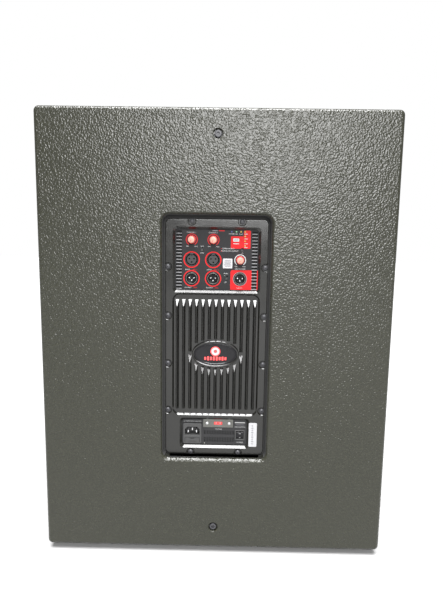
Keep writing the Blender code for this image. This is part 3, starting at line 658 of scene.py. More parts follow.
def carved(base: Shape, tool: Shape, operation: str = "DIFFERENCE") -> Shape:
    """Boolean of two shapes, worked out at once.

    Args:
        base: shape that is cut.
        tool: shape that cuts, whose parts don't overlap each other.
        operation: name of the boolean.

    Returns:
        A new shape.
    """
    things = []
    for name, shape in (("base", base), ("tool", tool)):
        thing = bpy.data.objects.new(name, shape.mesh(name))
        bpy.context.scene.collection.objects.link(thing)
        things.append(thing)
    modifier = things[0].modifiers.new("cut", "BOOLEAN")
    modifier.operation = operation
    modifier.solver = "EXACT"
    modifier.object = things[1]
    depsgraph = bpy.context.evaluated_depsgraph_get()
    mesh = bpy.data.meshes.new_from_object(things[0].evaluated_get(depsgraph))
    result = Shape().add_mesh(mesh)
    bpy.data.meshes.remove(mesh)
    for thing in things:
        old = thing.data
        bpy.data.objects.remove(thing, do_unlink=True)
        bpy.data.meshes.remove(old)
    bmesh.ops.remove_doubles(result.data, verts=result.data.verts, dist=2e-6)
    bmesh.ops.dissolve_degenerate(result.data, edges=result.data.edges, dist=2e-6)
    return result


def lettering(words: str, height: float) -> Shape:
    """Raised words, centred on the origin, that read from the amplifier side.

    Args:
        words: what is written.
        height: height of a capital.

    Returns:
        The words, about 0.08 mm thick.
    """
    curve = bpy.data.curves.new("words", "FONT")
    curve.body = words
    curve.size = height / 0.72
    curve.extrude = 0.04 * MM
    curve.resolution_u = 2
    curve.align_x = "CENTER"
    curve.align_y = "CENTER"
    thing = bpy.data.objects.new("words", curve)
    bpy.context.scene.collection.objects.link(thing)
    mesh = bpy.data.meshes.new_from_object(
        thing.evaluated_get(bpy.context.evaluated_depsgraph_get()))
    turn = Matrix(((-1, 0, 0, 0), (0, 0, 1, 0), (0, 1, 0, 0), (0, 0, 0, 1)))
    shape = Shape().add_mesh(mesh, turn)
    bmesh.ops.remove_doubles(shape.data, verts=shape.data.verts, dist=1e-6)
    bpy.data.objects.remove(thing, do_unlink=True)
    bpy.data.meshes.remove(mesh)
    bpy.data.curves.remove(curve)
    return shape


# Pieces


@dataclass(frozen=True)
class Room:
    """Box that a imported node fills."""

    low: Vector
    high: Vector

    @classmethod
    def of(cls, node: str) -> "Room":
        """Box of a node by its name."""
        return cls(*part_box(node))

    @property
    def centre(self) -> Vector:
        """Middle of the box."""
        return (self.low + self.high) / 2

    @property
    def size(self) -> Vector:
        """Length of its sides."""
        return self.high - self.low


def soften(thing: bpy.types.Object, bevel: float, angle: float) -> None:
    """Shade a mesh smoothly, with its hard edges either kept sharp or rounded.

    Args:
        thing: object to shade.
        bevel: width of the rounding, or 0 for none.
        angle: edges sharper than this many degrees count as hard.
    """
    for face in thing.data.polygons:
        face.use_smooth = True
    if bevel <= 0:
        thing.data.set_sharp_from_angle(angle=math.radians(angle))
    else:
        rounding = thing.modifiers.new("rounding", "BEVEL")
        rounding.width = bevel
        rounding.segments = 2
        rounding.limit_method = "ANGLE"
        rounding.angle_limit = math.radians(angle)
        rounding.miter_outer = "MITER_ARC"
    shading = thing.modifiers.new("shading", "WEIGHTED_NORMAL")
    shading.keep_sharp = True


def piece(name: str, shape: Shape, looks: Sequence[Look], body: str = CABINET_BODY,
          replaces: Sequence[str] = (), bevel: float = 0.0, angle: float = 38.0) -> bpy.types.Object:
    """Make a visible piece that rides on a body.

    Args:
        name: name of the piece.
        shape: its mesh; its faces' numbers choose among the looks.
        looks: finishes, the main one first.
        body: body that it moves with.
        replaces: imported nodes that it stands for.
        bevel: rounding of its hard edges.
        angle: edges sharper than this many degrees count as hard.

    Returns:
        The object.
    """
    thing = bpy.data.objects.new(name, shape.mesh(name))
    bpy.context.scene.collection.objects.link(thing)
    for look in looks:
        thing.data.materials.append(look.material())
    soften(thing, bevel, angle)
    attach(thing, body)
    if replaces:
        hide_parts(*replaces)
    LOG.info("%s: %d faces on %s", name, len(thing.data.polygons), body)
    return thing


def dress(node: str, look: Look, bevel: float = 0.4 * MM, angle: float = 40.0) -> None:
    """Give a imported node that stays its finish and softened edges.

    Args:
        node: name of the node.
        look: its finish.
        bevel: rounding of its edges.
        angle: edges sharper than this many degrees count as hard.
    """
    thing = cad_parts[node]
    thing.data.materials.clear()
    thing.data.materials.append(look.material())
    custom = thing.data.attributes.get("custom_normal")
    if custom is not None:
        thing.data.attributes.remove(custom)
    weld = thing.modifiers.new("weld", "WELD")
    weld.merge_threshold = 2e-6
    soften(thing, bevel, angle)
    LOG.info("%s: kept, %s", node, look.name.lower())


@dataclass(frozen=True)
class PanScrew:
    """Cross-recessed pan head; its axis is +Z and its seat is at the origin."""

    radius: float = 4.0 * MM
    height: float = 2.2 * MM

    def head(self) -> Shape:
        """Build the domed head with its cross."""
        radius, height = self.radius, self.height
        dome = Shape().lathe([
            (0.0, height), (radius * 0.45, height * 0.97), (radius * 0.75, height * 0.82),
            (radius * 0.94, height * 0.52), (radius, height * 0.22), (radius, -height * 0.3),
            (0.0, -height * 0.3)], count=28, axis=Axis.Z)
        arm, slim, deep = radius * 0.52, radius * 0.13, height * 0.35
        cross = [(slim, slim), (slim, arm), (-slim, arm), (-slim, slim), (-arm, slim), (-arm, -slim),
                 (-slim, -slim), (-slim, -arm), (slim, -arm), (slim, -slim), (arm, -slim), (arm, slim)]
        tip = [(u * 0.55, v * 0.55) for u, v in cross]
        tool = Shape().loft([Axis.Z.ring(tip, deep), Axis.Z.ring(cross, height + MM)])
        return carved(dome, tool)

    def row(self, places: Iterable[tuple[Vector, Vector]]) -> Shape:
        """Set copies of the head.

        Args:
            places: seat and outward direction of each.

        Returns:
            All of the heads as one shape.
        """
        head = self.head().mesh("head")
        heads = Shape()
        for number, (seat, out) in enumerate(places):
            turn = out.to_track_quat("Z", "Y").to_matrix().to_4x4()
            spin = Matrix.Rotation(math.radians(37.0 * number), 4, "Z")
            heads.add_mesh(head, Matrix.Translation(seat) @ turn @ spin)
        bpy.data.meshes.remove(head)
        return heads


# Cabinet


@dataclass
class Cabinet:
    """Painted wooden box with the lipped opening for the amplifier."""

    board: float = 18 * MM
    rim: float = 6 * MM
    front_rim: float = 4 * MM
    corner: float = 8 * MM
    recess: Pair = (170 * MM, 401 * MM)
    recess_corner: float = 11 * MM
    lip: Pair = (5 * MM, 8 * MM)
    sill: float = 3.8 * MM
    # These fields shape a matt black film of painted shade on the opening's edge.
    film_rings: int = 4
    film: float = 0.4 * MM
    film_at_sill: float = 1.6
    sill_fall: float = 0.4
    counterbore: Pair = (7.6 * MM, 5.5 * MM)
    bolt_hole: float = 4.8 * MM

    def build(self) -> None:
        """Make the painted shell, the matt black film of painted shade in its opening, and dress the boards
        inside it.
        """
        back = Room.of("back_panel")
        piece("cabinet_shell", self.shell(back), [Look.CABINET], replaces=[
            "top_panel", "bottom_panel", "left_side_panel", "right_side_panel", "back_panel"])
        # Matt black film of painted shade on the deep edge of the opening.
        piece("recess_shade_film", self.shade_film(back), [Look.FOAM])
        for node in ("front_baffle", "port_shelf", "cross_brace"):
            dress(node, Look.CABINET, 0.8 * MM)
        # The wooden mounting frame takes the near-black foam finish as the floor of the gap round the plate:
        # painted shade.
        dress("amp_mount_frame", Look.FOAM, 0.8 * MM)

    def shell(self, back: Room) -> Shape:
        """Outer box, painted over its joints so that none shows.

        Args:
            back: box of the back board.

        Returns:
            The shell with all its holes.
        """
        width, height, middle = back.size.x, back.size.z, back.centre.z
        front = Room.of("top_panel").low.y
        amp_z = Room.of("amp_faceplate").centre.z
        rings = self._recess_rings(back, amp_z)

        def outer(inset: float, y: float, corner: float) -> Ring:
            """Outline of the box, set in by some amount."""
            return Axis.Y.ring(rounded_rect(width - 2 * inset, height - 2 * inset, corner, 6,
                                            (0.0, middle)), y)

        for sine, cosine in quarter(5):
            inset = self.rim * (1 - sine)
            rings.append(outer(inset, back.high.y - self.rim * (1 - cosine), self.corner - inset))
        for sine, cosine in quarter(4):
            inset = self.front_rim * (1 - cosine)
            rings.append(outer(inset, front + self.front_rim * (1 - sine), self.corner - inset))
        rings.append(outer(self.board - 1.5 * MM, front, 2 * MM))
        rings.append(outer(self.board, front + 1.5 * MM, 1 * MM))
        rings.append(outer(self.board, back.low.y, 1 * MM))
        shell = Shape().loft(rings, closed=True)
        return carved(shell, self.cutters(back))

    def _recess_rings(self, back: Room, amp_z: float, film: float = 0.0) -> list[Ring]:
        """Sections of the opening, from the inside of the board to its face.

        Args:
            back: box of the back board.
            amp_z: height of the amplifier's middle.
            film: how far the sections are drawn in from the wood, for the film of painted shade.

        Returns:
            The sections.
        """
        hidden = self.film_at_sill * film
        rings = [self._recess_ring(-film, self.sill - hidden, back.low.y, amp_z)]
        for sine, cosine in quarter(6):
            raised = self.sill * (1 - self.sill_fall + self.sill_fall * cosine) - hidden
            rings.append(self._recess_ring(self.lip[0] * (1 - cosine) - film, raised,
                                           back.high.y - self.lip[1] * (1 - sine), amp_z))
        return rings

    def shade_film(self, back: Room) -> Shape:
        """Matt black film on the deep part of the opening's edge, all round but its sill: painted shade,
        standing for the shade on that edge.
        """
        amp_z = Room.of("amp_faceplate").centre.z
        wood, face = (self._recess_rings(back, amp_z, film)[:self.film_rings] for film in (0.0, self.film))
        return Shape().loft(wood + face[::-1], closed=True)

    def _recess_ring(self, grow: float, sill: float, y: float, amp_z: float) -> Ring:
        """One section of the opening.

        Args:
            grow: how far it is grown on every side.
            sill: how far its lower side is raised.
            y: its depth.
            amp_z: height of the amplifier's middle.

        Returns:
            Its outline.
        """
        return Axis.Y.ring(rounded_rect(self.recess[0] + 2 * grow, self.recess[1] + 2 * grow - sill,
                                        self.recess_corner + grow, 6, (0.0, amp_z + sill / 2)), y)

    def cutters(self, back: Room) -> Shape:
        """Holes for the handles, the pole socket and the two back bolts."""
        tool = Shape()
        for node in ("left_handle_cup", "right_handle_cup"):
            cup = Room.of(node)
            side = math.copysign(1.0, cup.centre.x)
            hole = rounded_rect(cup.size.y - 23 * MM, cup.size.z - 23 * MM, 16.5 * MM, 5,
                                (cup.centre.y, cup.centre.z))
            face = side * back.size.x / 2
            tool.prism(hole, *sorted((face - side * 30 * MM, face + side * 10 * MM)), Axis.X)
        top = back.high.z
        tool.prism(oval(22.3 * MM, 22.3 * MM), top - 30 * MM, top + 10 * MM, Axis.Z)
        reach, depth = self.counterbore
        for node in ("back_bolt_upper", "back_bolt_lower"):
            bolt = Room.of(node)
            seat = back.high.y - depth
            rings = [Axis.Y.ring(oval(radius, radius, 32, (0.0, bolt.centre.z)), y) for radius, y in (
                (self.bolt_hole, back.low.y - 10 * MM), (self.bolt_hole, seat), (reach, seat),
                (reach, back.high.y - 0.9 * MM), (reach + 1.2 * MM, back.high.y + 0.3 * MM))]
            tool.loft(rings)
        return tool


@dataclass
class BackBolt:
    """Socket-head bolt sunk in a counterbore, over its washer."""

    node: str
    head: float = 5.6 * MM
    rise: float = 4.2 * MM
    key: float = 2.9 * MM

    def build(self) -> None:
        """Turn the bolt and cut its hexagon."""
        room = Room.of(self.node)
        centre = (room.centre.x, room.centre.z)
        top, seat = room.high.y, room.high.y - self.rise
        bolt = Shape().lathe([
            (0.0, top), (self.head * 0.80, top), (self.head * 0.95, top - 0.35 * MM),
            (self.head, top - 1.0 * MM), (self.head, seat), (4.2 * MM, seat),
            (4.2 * MM, room.low.y), (0.0, room.low.y)], centre)
        hexagon = Shape().prism(oval(self.key, self.key, 6, centre), top - 2.6 * MM, top + MM)
        bolt = carved(bolt, hexagon)
        piece(self.node + "_piece", bolt, [Look.BLACK_STEEL], replaces=[self.node], bevel=0.12 * MM)


@dataclass
class SideHandle:
    """Recessed cup with a ribbed grip, screwed to one side."""

    side: int
    word: str
    throat: Pair = (176 * MM, 106 * MM)
    taper: float = 5 * MM
    wall: float = 2.5 * MM
    ribs: int = 17

    def build(self) -> None:
        """Make the cup, its screws and the grip bar."""
        node = self.word + "_handle_cup"
        cup = Room.of(node)
        centre = (cup.centre.y, cup.centre.z)
        outer = cup.high.x if self.side > 0 else cup.low.x
        floor = cup.low.x if self.side > 0 else cup.high.x
        seat = outer - self.side * 2.2 * MM

        def ring(width: float, height: float, corner: float, x: float) -> Ring:
            """One rounded section of the cup."""
            return Axis.X.ring(rounded_rect(width, height, corner, 8, centre), x)

        wide, high = self.throat
        inner = 2 * self.wall
        low = 2 * self.taper
        rings = [
            ring(wide - low - inner - 8 * MM, high - low - inner - 8 * MM, 9 * MM,
                 floor + self.side * self.wall),
            ring(wide - low - inner, high - low - inner, 12 * MM,
                 floor + self.side * (self.wall + 4 * MM)),
            ring(wide - inner, high - inner, 13.5 * MM, outer - self.side * 1.2 * MM),
            ring(wide - inner + 2 * MM, high - inner + 2 * MM, 14.5 * MM, outer),
            ring(cup.size.y - 3 * MM, cup.size.z - 3 * MM, 18.5 * MM, outer),
            ring(cup.size.y, cup.size.z, 20 * MM, outer - self.side * 1.5 * MM),
            ring(cup.size.y, cup.size.z, 20 * MM, seat),
            ring(wide, high, 16 * MM, seat),
            ring(wide - low, high - low, 14 * MM, floor),
        ]
        piece(node + "_piece", Shape().loft(rings), [Look.BLACK_PLASTIC], replaces=[node], bevel=0.4 * MM)
        spots = [(u * 87.5 * MM, v * 52.5 * MM) for u in (-1, 1) for v in (-1, 1)]
        spots += [(0.0, 58.5 * MM), (0.0, -58.5 * MM)]
        out = Vector((self.side, 0, 0))
        heads = PanScrew(3.6 * MM, 1.9 * MM).row(
            (Vector((outer - self.side * 0.9 * MM, centre[0] + u, centre[1] + v)), out) for u, v in spots)
        piece(self.word + "_handle_screws", heads, [Look.BLACK_STEEL])
        self.grip()

    def grip(self) -> None:
        """Turn the grip bar with its ribs."""
        node = self.word + "_handle_bar"
        bar = Room.of(node)
        radius = bar.size.x / 2
        low, high = bar.low.y, bar.high.y
        span = (high - low - 20 * MM) / self.ribs
        profile = [(0.0, low), (radius * 0.9, low), (radius, low + 1.5 * MM)]
        for step in range(self.ribs):
            start = low + 10 * MM + step * span
            profile += [(radius, start + 0.2 * span), (radius - 0.9 * MM, start + 0.35 * span),
                        (radius - 0.9 * MM, start + 0.65 * span), (radius, start + 0.8 * span)]
        profile += [(radius, high - 1.5 * MM), (radius * 0.9, high), (0.0, high)]
        shape = Shape().lathe(profile, (bar.centre.x, bar.centre.z), 32)
        piece(node + "_piece", shape, [Look.RUBBER], replaces=[node], bevel=0.2 * MM)


@dataclass
class PoleSocket:
    """Cup in the top board that takes a speaker pole."""

    bore: float = 17.75 * MM
    tube: float = 21.5 * MM
    screws: int = 4

    def build(self) -> None:
        """Turn the cup and set its screws."""
        room = Room.of("pole_socket")
        flange = room.size.x / 2
        top, base = room.high.z, room.high.z - 2.5 * MM
        floor = room.low.z
        cup = Shape().lathe([
            (0.0, floor + 4 * MM), (self.bore - 1 * MM, floor + 4 * MM), (self.bore, floor + 5 * MM),
            (self.bore, top - 1.6 * MM), (self.bore + 1.6 * MM, top), (flange - 2.2 * MM, top),
            (flange - 0.6 * MM, top - 0.8 * MM), (flange, top - 1.9 * MM), (flange, base),
            (self.tube, base), (self.tube, floor + 2 * MM), (self.tube - 2 * MM, floor),
            (0.0, floor)], count=64, axis=Axis.Z)
        piece("pole_socket_piece", cup, [Look.BLACK_PLASTIC], replaces=["pole_socket"], bevel=0.3 * MM)
        spots = []
        for step in range(self.screws):
            angle = math.radians(45 + 360 / self.screws * step)
            spots.append((Vector((32 * MM * math.cos(angle), 32 * MM * math.sin(angle), top - 1.0 * MM)),
                          Vector((0, 0, 1))))
        piece("pole_socket_screws", PanScrew(3.8 * MM, 2.0 * MM).row(spots), [Look.BLACK_STEEL])


@dataclass
class Foot:
    """Rubber foot with the hole for its screw."""

    node: str

    def build(self) -> None:
        """Turn the foot."""
        room = Room.of(self.node)
        centre = (room.centre.x, room.centre.y)
        wide, slim = room.size.x / 2, room.size.x / 2 - 3 * MM
        low, high = room.low.z, room.high.z
        foot = Shape().lathe([
            (0.0, low + 4 * MM), (5 * MM, low + 4 * MM), (5.4 * MM, low + 0.6 * MM), (6 * MM, low),
            (slim - 1.2 * MM, low), (slim, low + 1.0 * MM), (wide - 0.6 * MM, high - 1 * MM),
            (wide, high), (0.0, high)], centre, 40, Axis.Z)
        piece(self.node + "_piece", foot, [Look.RUBBER], replaces=[self.node])


@dataclass
class Grille:
    """Steel tray punched with hexagons, screwed over its foam."""

    pitch: float = 11 * MM
    strand: float = 2.0 * MM
    border: float = 12 * MM
    skin: float = 1.4 * MM

    def build(self) -> None:
        """Make the tray, its punched sheet and its screws."""
        room = Room.of("grille")
        shape = self.rim(room)
        shape.add(self.punched(room))
        piece("grille_tray", shape, [Look.COATED_STEEL], replaces=["grille"], angle=60.0)
        half_x, half_z = room.size.x / 2 - 6 * MM, room.size.z / 2 - 6 * MM
        spots = []
        for u in (-1, 0, 1):
            for v in (-1, 0, 1):
                if u or v:
                    spots.append((Vector((u * half_x, room.low.y + 0.3 * MM, room.centre.z + v * half_z)),
                                  Vector((0, -1, 0))))
        piece("grille_screws", PanScrew(3.4 * MM, 1.8 * MM).row(spots), [Look.BLACK_STEEL])
        dress("grille_foam", Look.FOAM, 1.0 * MM)

    def rim(self, room: Room) -> Shape:
        """Solid border with the return that stiffens it."""
        centre = (0.0, room.centre.z)
        wide, high = room.size.x, room.size.z
        front, skin, border = room.low.y, self.skin, self.border

        def ring(inset: float, corner: float, y: float) -> Ring:
            """Outline of the tray, set in by some amount."""
            return Axis.Y.ring(rounded_rect(wide - 2 * inset, high - 2 * inset, corner, 4, centre), y)

        return Shape().loft([
            ring(0.0, 4 * MM, front + 1.2 * MM), ring(0.4 * MM, 3.6 * MM, front + 0.4 * MM),
            ring(1.2 * MM, 3 * MM, front), ring(border, 2 * MM, front),
            ring(border, 2 * MM, front + skin), ring(skin, 2.6 * MM, front + skin),
            ring(skin, 2.6 * MM, room.high.y), ring(0.0, 4 * MM, room.high.y)], closed=True)

    def punched(self, room: Room) -> Shape:
        """Honeycomb sheet that ends under the border."""
        half_x = room.size.x / 2 - self.border + 1 * MM
        half_z = room.size.z / 2 - self.border + 1 * MM
        rise = self.pitch * math.sqrt(3) / 2
        rows = int(half_z / rise)
        columns = int(half_x / self.pitch) + 1
        cells = set()
        for row in range(-rows, rows + 1):
            for column in range(-columns, columns + 1):
                shift = column + (row % 2) / 2
                if abs(shift * self.pitch) < half_x:
                    cells.add((row, column))
        front = room.low.y + 0.15 * MM
        back = front + self.skin - 0.3 * MM
        shape = Shape()
        store: dict[tuple[int, int, int], bmesh.types.BMVert] = {}

        def vertex(u: float, v: float, y: float) -> bmesh.types.BMVert:
            """The one vertex at a place."""
            key = (round(u * 1e6), round(v * 1e6), round(y * 1e6))
            if key not in store:
                store[key] = shape.data.verts.new((u, y, v + room.centre.z))
            return store[key]

        reach = self.pitch / math.sqrt(3)
        hole = (self.pitch - self.strand) / math.sqrt(3)
        for row, column in sorted(cells):
            u, v = (column + (row % 2) / 2) * self.pitch, row * rise
            odd = row % 2
            around = [(row, column + 1), (row + 1, column + odd), (row + 1, column + odd - 1),
                      (row, column - 1), (row - 1, column + odd - 1), (row - 1, column + odd)]
            for step in range(6):
                one, two = (math.radians(60 * step - 30), math.radians(60 * step + 30))
                spots = [(u + r * math.cos(a), v + r * math.sin(a))
                         for r, a in ((reach, one), (reach, two), (hole, two), (hole, one))]
                face, rear = [[vertex(*spot, y) for spot in spots] for y in (front, back)]
                shape.data.faces.new(face)
                shape.data.faces.new(rear[::-1])
                shape.data.faces.new((face[3], face[2], rear[2], rear[3]))
                if around[step] not in cells:
                    shape.data.faces.new((face[1], face[0], rear[0], rear[1]))
        return shape


@dataclass
class Driver:
    """The 18 inch driver behind the grille."""

    looks: Mapping[str, Look] = field(default_factory=lambda: {
        "driver_basket": Look.CASTING, "motor_top_plate": Look.BLACK_STEEL, "motor_magnet": Look.FERRITE,
        "motor_back_plate": Look.BLACK_STEEL, "driver_cone": Look.CONE, "dust_cap": Look.CONE,
        "voice_coil": Look.COPPER, "surround": Look.RUBBER, "spider": Look.FOAM})

    def build(self) -> None:
        """Dress each of its nodes and add the screws that hold its frame."""
        for node, look in self.looks.items():
            dress(node, look, 0.15 * MM, 50.0)
        room = Room.of("driver_basket")
        reach = room.size.x / 2 - 9 * MM
        spots = []
        for step in range(8):
            angle = math.radians(22.5 + 45 * step)
            spots.append((Vector((reach * math.cos(angle), room.low.y,
                                  room.centre.z + reach * math.sin(angle))), Vector((0, -1, 0))))
        piece("driver_screws", PanScrew(5.0 * MM, 3.0 * MM).row(spots), [Look.BLACK_STEEL])


# Amplifier


@dataclass
class Faceplate:
    """Cast plate with two windows, a sunken field of fins and a boss for the badge."""

    corner: float = 8 * MM
    thick: float = 4 * MM
    edge: float = 1.2 * MM
    collar: float = 2 * MM
    top_window: tuple[float, float, float] = (70 * MM, 52.3 * MM, 495 * MM)
    low_window: tuple[float, float, float] = (57.8 * MM, 26.1 * MM, 206.9 * MM)
    window_bevel: float = 3.4 * MM
    field: tuple[float, float, float] = (140 * MM, 238 * MM, 441 * MM)
    field_depth: float = 2.5 * MM
    fins: int = 13
    fin_pitch: float = 10.4 * MM
    fin_ends: Pair = (248.5 * MM, 431.5 * MM)
    fin_ramp: float = 10.5 * MM
    fin_sink: float = 0.8 * MM
    fin_section: Sequence[Pair] = ((0.0, 2.75), (1.2, 2.4), (2.6, 1.95), (4.0, 1.5), (5.4, 1.1),
                                   (6.6, 0.7), (7.2, 0.5), (7.5, 0.25))
    boss: Pair = (38.3 * MM, 22.6 * MM)
    badge_z: float = 342.4 * MM
    side_screws: Sequence[float] = (483.8 * MM, 404.6 * MM, 325.4 * MM, 246.2 * MM)
    end_screws: Sequence[float] = (556.0 * MM, 173.3 * MM)
    screw_x: Pair = (77.7 * MM, 39.6 * MM)
    screw_seat: float = 1.6 * MM
    pocket: Sequence[Pair] = ((5.6 * MM, -2.7 * MM), (5.8 * MM, -1.1 * MM), (7.1 * MM, 0.1 * MM),
                              (7.5 * MM, 0.5 * MM))

    def build(self) -> None:
        """Make the plate with its fins, then its screws."""
        room = Room.of("amp_faceplate")
        self.front = room.low.y + self.collar + self.thick
        self.floor = self.front - self.field_depth
        plate = self.slab(room)
        for step in range(self.fins):
            self.fin(plate, (step - (self.fins - 1) / 2) * self.fin_pitch)
        self.boss_ring(plate)
        piece("amp_faceplate_piece", plate, [Look.CASTING], replaces=["amp_faceplate"], angle=32.0)
        out = Vector((0, 1, 0))
        seats = ((Vector((x, self.front - self.screw_seat, z)), out) for x, z in self.screw_spots())
        piece("plate_screws", PanScrew(4.1 * MM, 2.6 * MM).row(seats), [Look.BLACK_STEEL])

    def screw_spots(self) -> list[Pair]:
        """Places of the twelve plate screws."""
        spots = [(side * self.screw_x[0], z) for side in (-1, 1) for z in self.side_screws]
        return spots + [(side * self.screw_x[1], z) for side in (-1, 1) for z in self.end_screws]

    def slab(self, room: Room) -> Shape:
        """Plate and collars with every opening cut."""
        centre = (0.0, room.centre.z)
        wide, high = room.size.x, room.size.z
        back = self.front - self.thick

        def ring(inset: float, y: float) -> Ring:
            """Outline of the plate, set in by some amount."""
            return Axis.Y.ring(rounded_rect(wide - 2 * inset, high - 2 * inset, self.corner - inset, 6,
                                            centre), y)

        rings = [ring(0.0, back)]
        for sine, cosine in quarter(3):
            rings.append(ring(self.edge * (1 - cosine), self.front - self.edge * (1 - sine)))
        plate = Shape().loft(rings)
        collars = Shape()
        windows = (self.top_window, self.low_window)
        for half_x, half_z, mid_z in windows:
            collars.prism(rect(-half_x - 1.5 * MM, half_x + 1.5 * MM, mid_z - half_z - 1.5 * MM,
                               mid_z + half_z + 1.5 * MM), back - self.collar, back + 1 * MM)
        plate = carved(plate, collars, "UNION")
        width, low, high_z = self.field
        mid = (0.0, (low + high_z) / 2)
        tall = high_z - low
        sunk = Shape().loft([Axis.Y.ring(rounded_rect(width - inset, tall - inset, corner, 6, mid), y)
                             for inset, corner, y in (
                                 (4.2 * MM, 9 * MM, self.floor), (3.6 * MM, 9.4 * MM, self.floor + 0.3 * MM),
                                 (-0.4 * MM, 11.4 * MM, self.front - 0.2 * MM),
                                 (-0.8 * MM, 12 * MM, self.front),
                                 (-1.0 * MM, 12 * MM, self.front + 1 * MM))])
        plate = carved(plate, sunk)
        tool = Shape()
        for half_x, half_z, mid_z in windows:
            tool.loft([self._window_ring(half_x, half_z, mid_z, y) for y in (
                self.front + 1 * MM, self.front - self.window_bevel, back - self.collar - 1 * MM)])
        for spot in self.screw_spots():
            tool.loft([Axis.Y.ring(oval(radius, radius, 28, spot), self.front + y)
                       for radius, y in self.pocket])
        return carved(plate, tool)

    def _window_ring(self, half_x: float, half_z: float, mid_z: float, y: float) -> Ring:
        """Section of a bevelled window at a depth."""
        inset = min(self.front - y, self.window_bevel)
        return Axis.Y.ring(rounded_rect(2 * (half_x - inset), 2 * (half_z - inset),
                                        6 * MM - inset * 0.4, 4, (0.0, mid_z)), y)

    def fin(self, plate: Shape, x: float) -> None:
        """One fin: wide at its root, thin at its crest, with a long slope at its upper end.

        Args:
            plate: shape that takes it.
            x: its place across the plate.
        """
        low, high = self.fin_ends
        spans = [(low, high)]
        near = max(abs(x) - 3.4 * MM, 0.0)
        if near < self.boss[0]:
            reach = self.boss[1] * math.sqrt(1 - (near / self.boss[0]) ** 2) + 1.2 * MM
            spans = [(low, self.badge_z - reach), (self.badge_z + reach, high)]
        root, crest = self.fin_section[0][1] * MM, self.fin_section[-1][0]
        for z_low, z_high in spans:
            rings = [Axis.Y.ring(rect(x - root, x + root, z_low, z_high), self.floor - self.fin_sink)]
            for rise, half in self.fin_section:
                top = z_high - self.fin_ramp * rise / crest
                foot = z_low + 2 * MM * rise / crest
                rings.append(Axis.Y.ring(rect(x - half * MM, x + half * MM, foot, top),
                                         self.floor + rise * MM))
            plate.loft(rings)

    def boss_ring(self, plate: Shape) -> None:
        """Raised oval that the badge sits in."""
        half_u, half_v = self.boss
        badge = Room.of("badge")
        hole_u, hole_v = badge.size.x / 2 + 0.4 * MM, badge.size.z / 2 + 0.4 * MM
        top = self.floor + 5 * MM
        centre = (0.0, self.badge_z)
        rings = [Axis.Y.ring(oval(half_u - inset, half_v - inset, 72, centre), y) for inset, y in (
            (0.0, self.floor - 0.7 * MM), (0.1 * MM, top - 1.4 * MM), (0.5 * MM, top - 0.5 * MM),
            (1.2 * MM, top), (2.0 * MM, top))]
        rings += [Axis.Y.ring(oval(hole_u, hole_v, 72, centre), y) for y in (
            top - 0.6 * MM, self.floor - 0.7 * MM)]
        plate.loft(rings, closed=True)


@dataclass
class Badge:
    """Oval badge with a plain ring and a row of level bars in place of any name."""

    bars: Sequence[float] = (4.6, 6.4, 5.4, 6.4, 6.4, 5.4, 6.4, 4.6)
    bar_pitch: float = 4.7 * MM
    ring_z: float = 4.6 * MM

    def build(self) -> None:
        """Make the dished badge and its emblem."""
        room = Room.of("badge")
        half_u, half_v = room.size.x / 2, room.size.z / 2
        centre = (0.0, room.centre.z)
        top = room.high.y

        def ring(inset: float, y: float) -> Ring:
            """Oval section of the badge, set in by some amount."""
            return Axis.Y.ring(oval(half_u - inset, half_v - inset, 72, centre), y)

        rings = [ring(0.0, room.low.y), ring(0.0, top - 0.8 * MM), ring(0.4 * MM, top - 0.2 * MM),
                 ring(1.0 * MM, top), ring(1.9 * MM, top - 0.1 * MM), ring(2.6 * MM, top - 0.9 * MM),
                 ring(3.2 * MM, top - 1.0 * MM)]
        shape = Shape().loft(rings)
        face = top - 1.0 * MM
        shape.paint(1)
        middle = (0.0, room.centre.z + self.ring_z)
        shape.lathe([(2.6 * MM, face - 0.2 * MM), (6.5 * MM, face - 0.2 * MM), (6.5 * MM, face + 0.35 * MM),
                     (2.6 * MM, face + 0.35 * MM)], middle, 40)
        shape.paint(2)
        shape.lathe([(6.5 * MM, face - 0.2 * MM), (7.9 * MM, face - 0.2 * MM), (7.9 * MM, face + 0.4 * MM),
                     (6.5 * MM, face + 0.4 * MM)], middle, 40)
        shape.lathe([(0.0, face - 0.2 * MM), (1.7 * MM, face - 0.2 * MM), (1.7 * MM, face + 0.35 * MM),
                     (0.0, face + 0.35 * MM)], middle, 24)
        for number, tall in enumerate(self.bars):
            u = (number - (len(self.bars) - 1) / 2) * self.bar_pitch
            outline = rounded_rect(3.0 * MM, tall * MM, 0.5 * MM, 2, (u, room.centre.z - 7.2 * MM))
            shape.prism(outline, face - 0.2 * MM, face + 0.35 * MM)
        piece("badge_piece", shape, [Look.DARK_GLOSS, Look.WHITE_INK, Look.RED_PLASTIC], replaces=["badge"],
              angle=30.0)


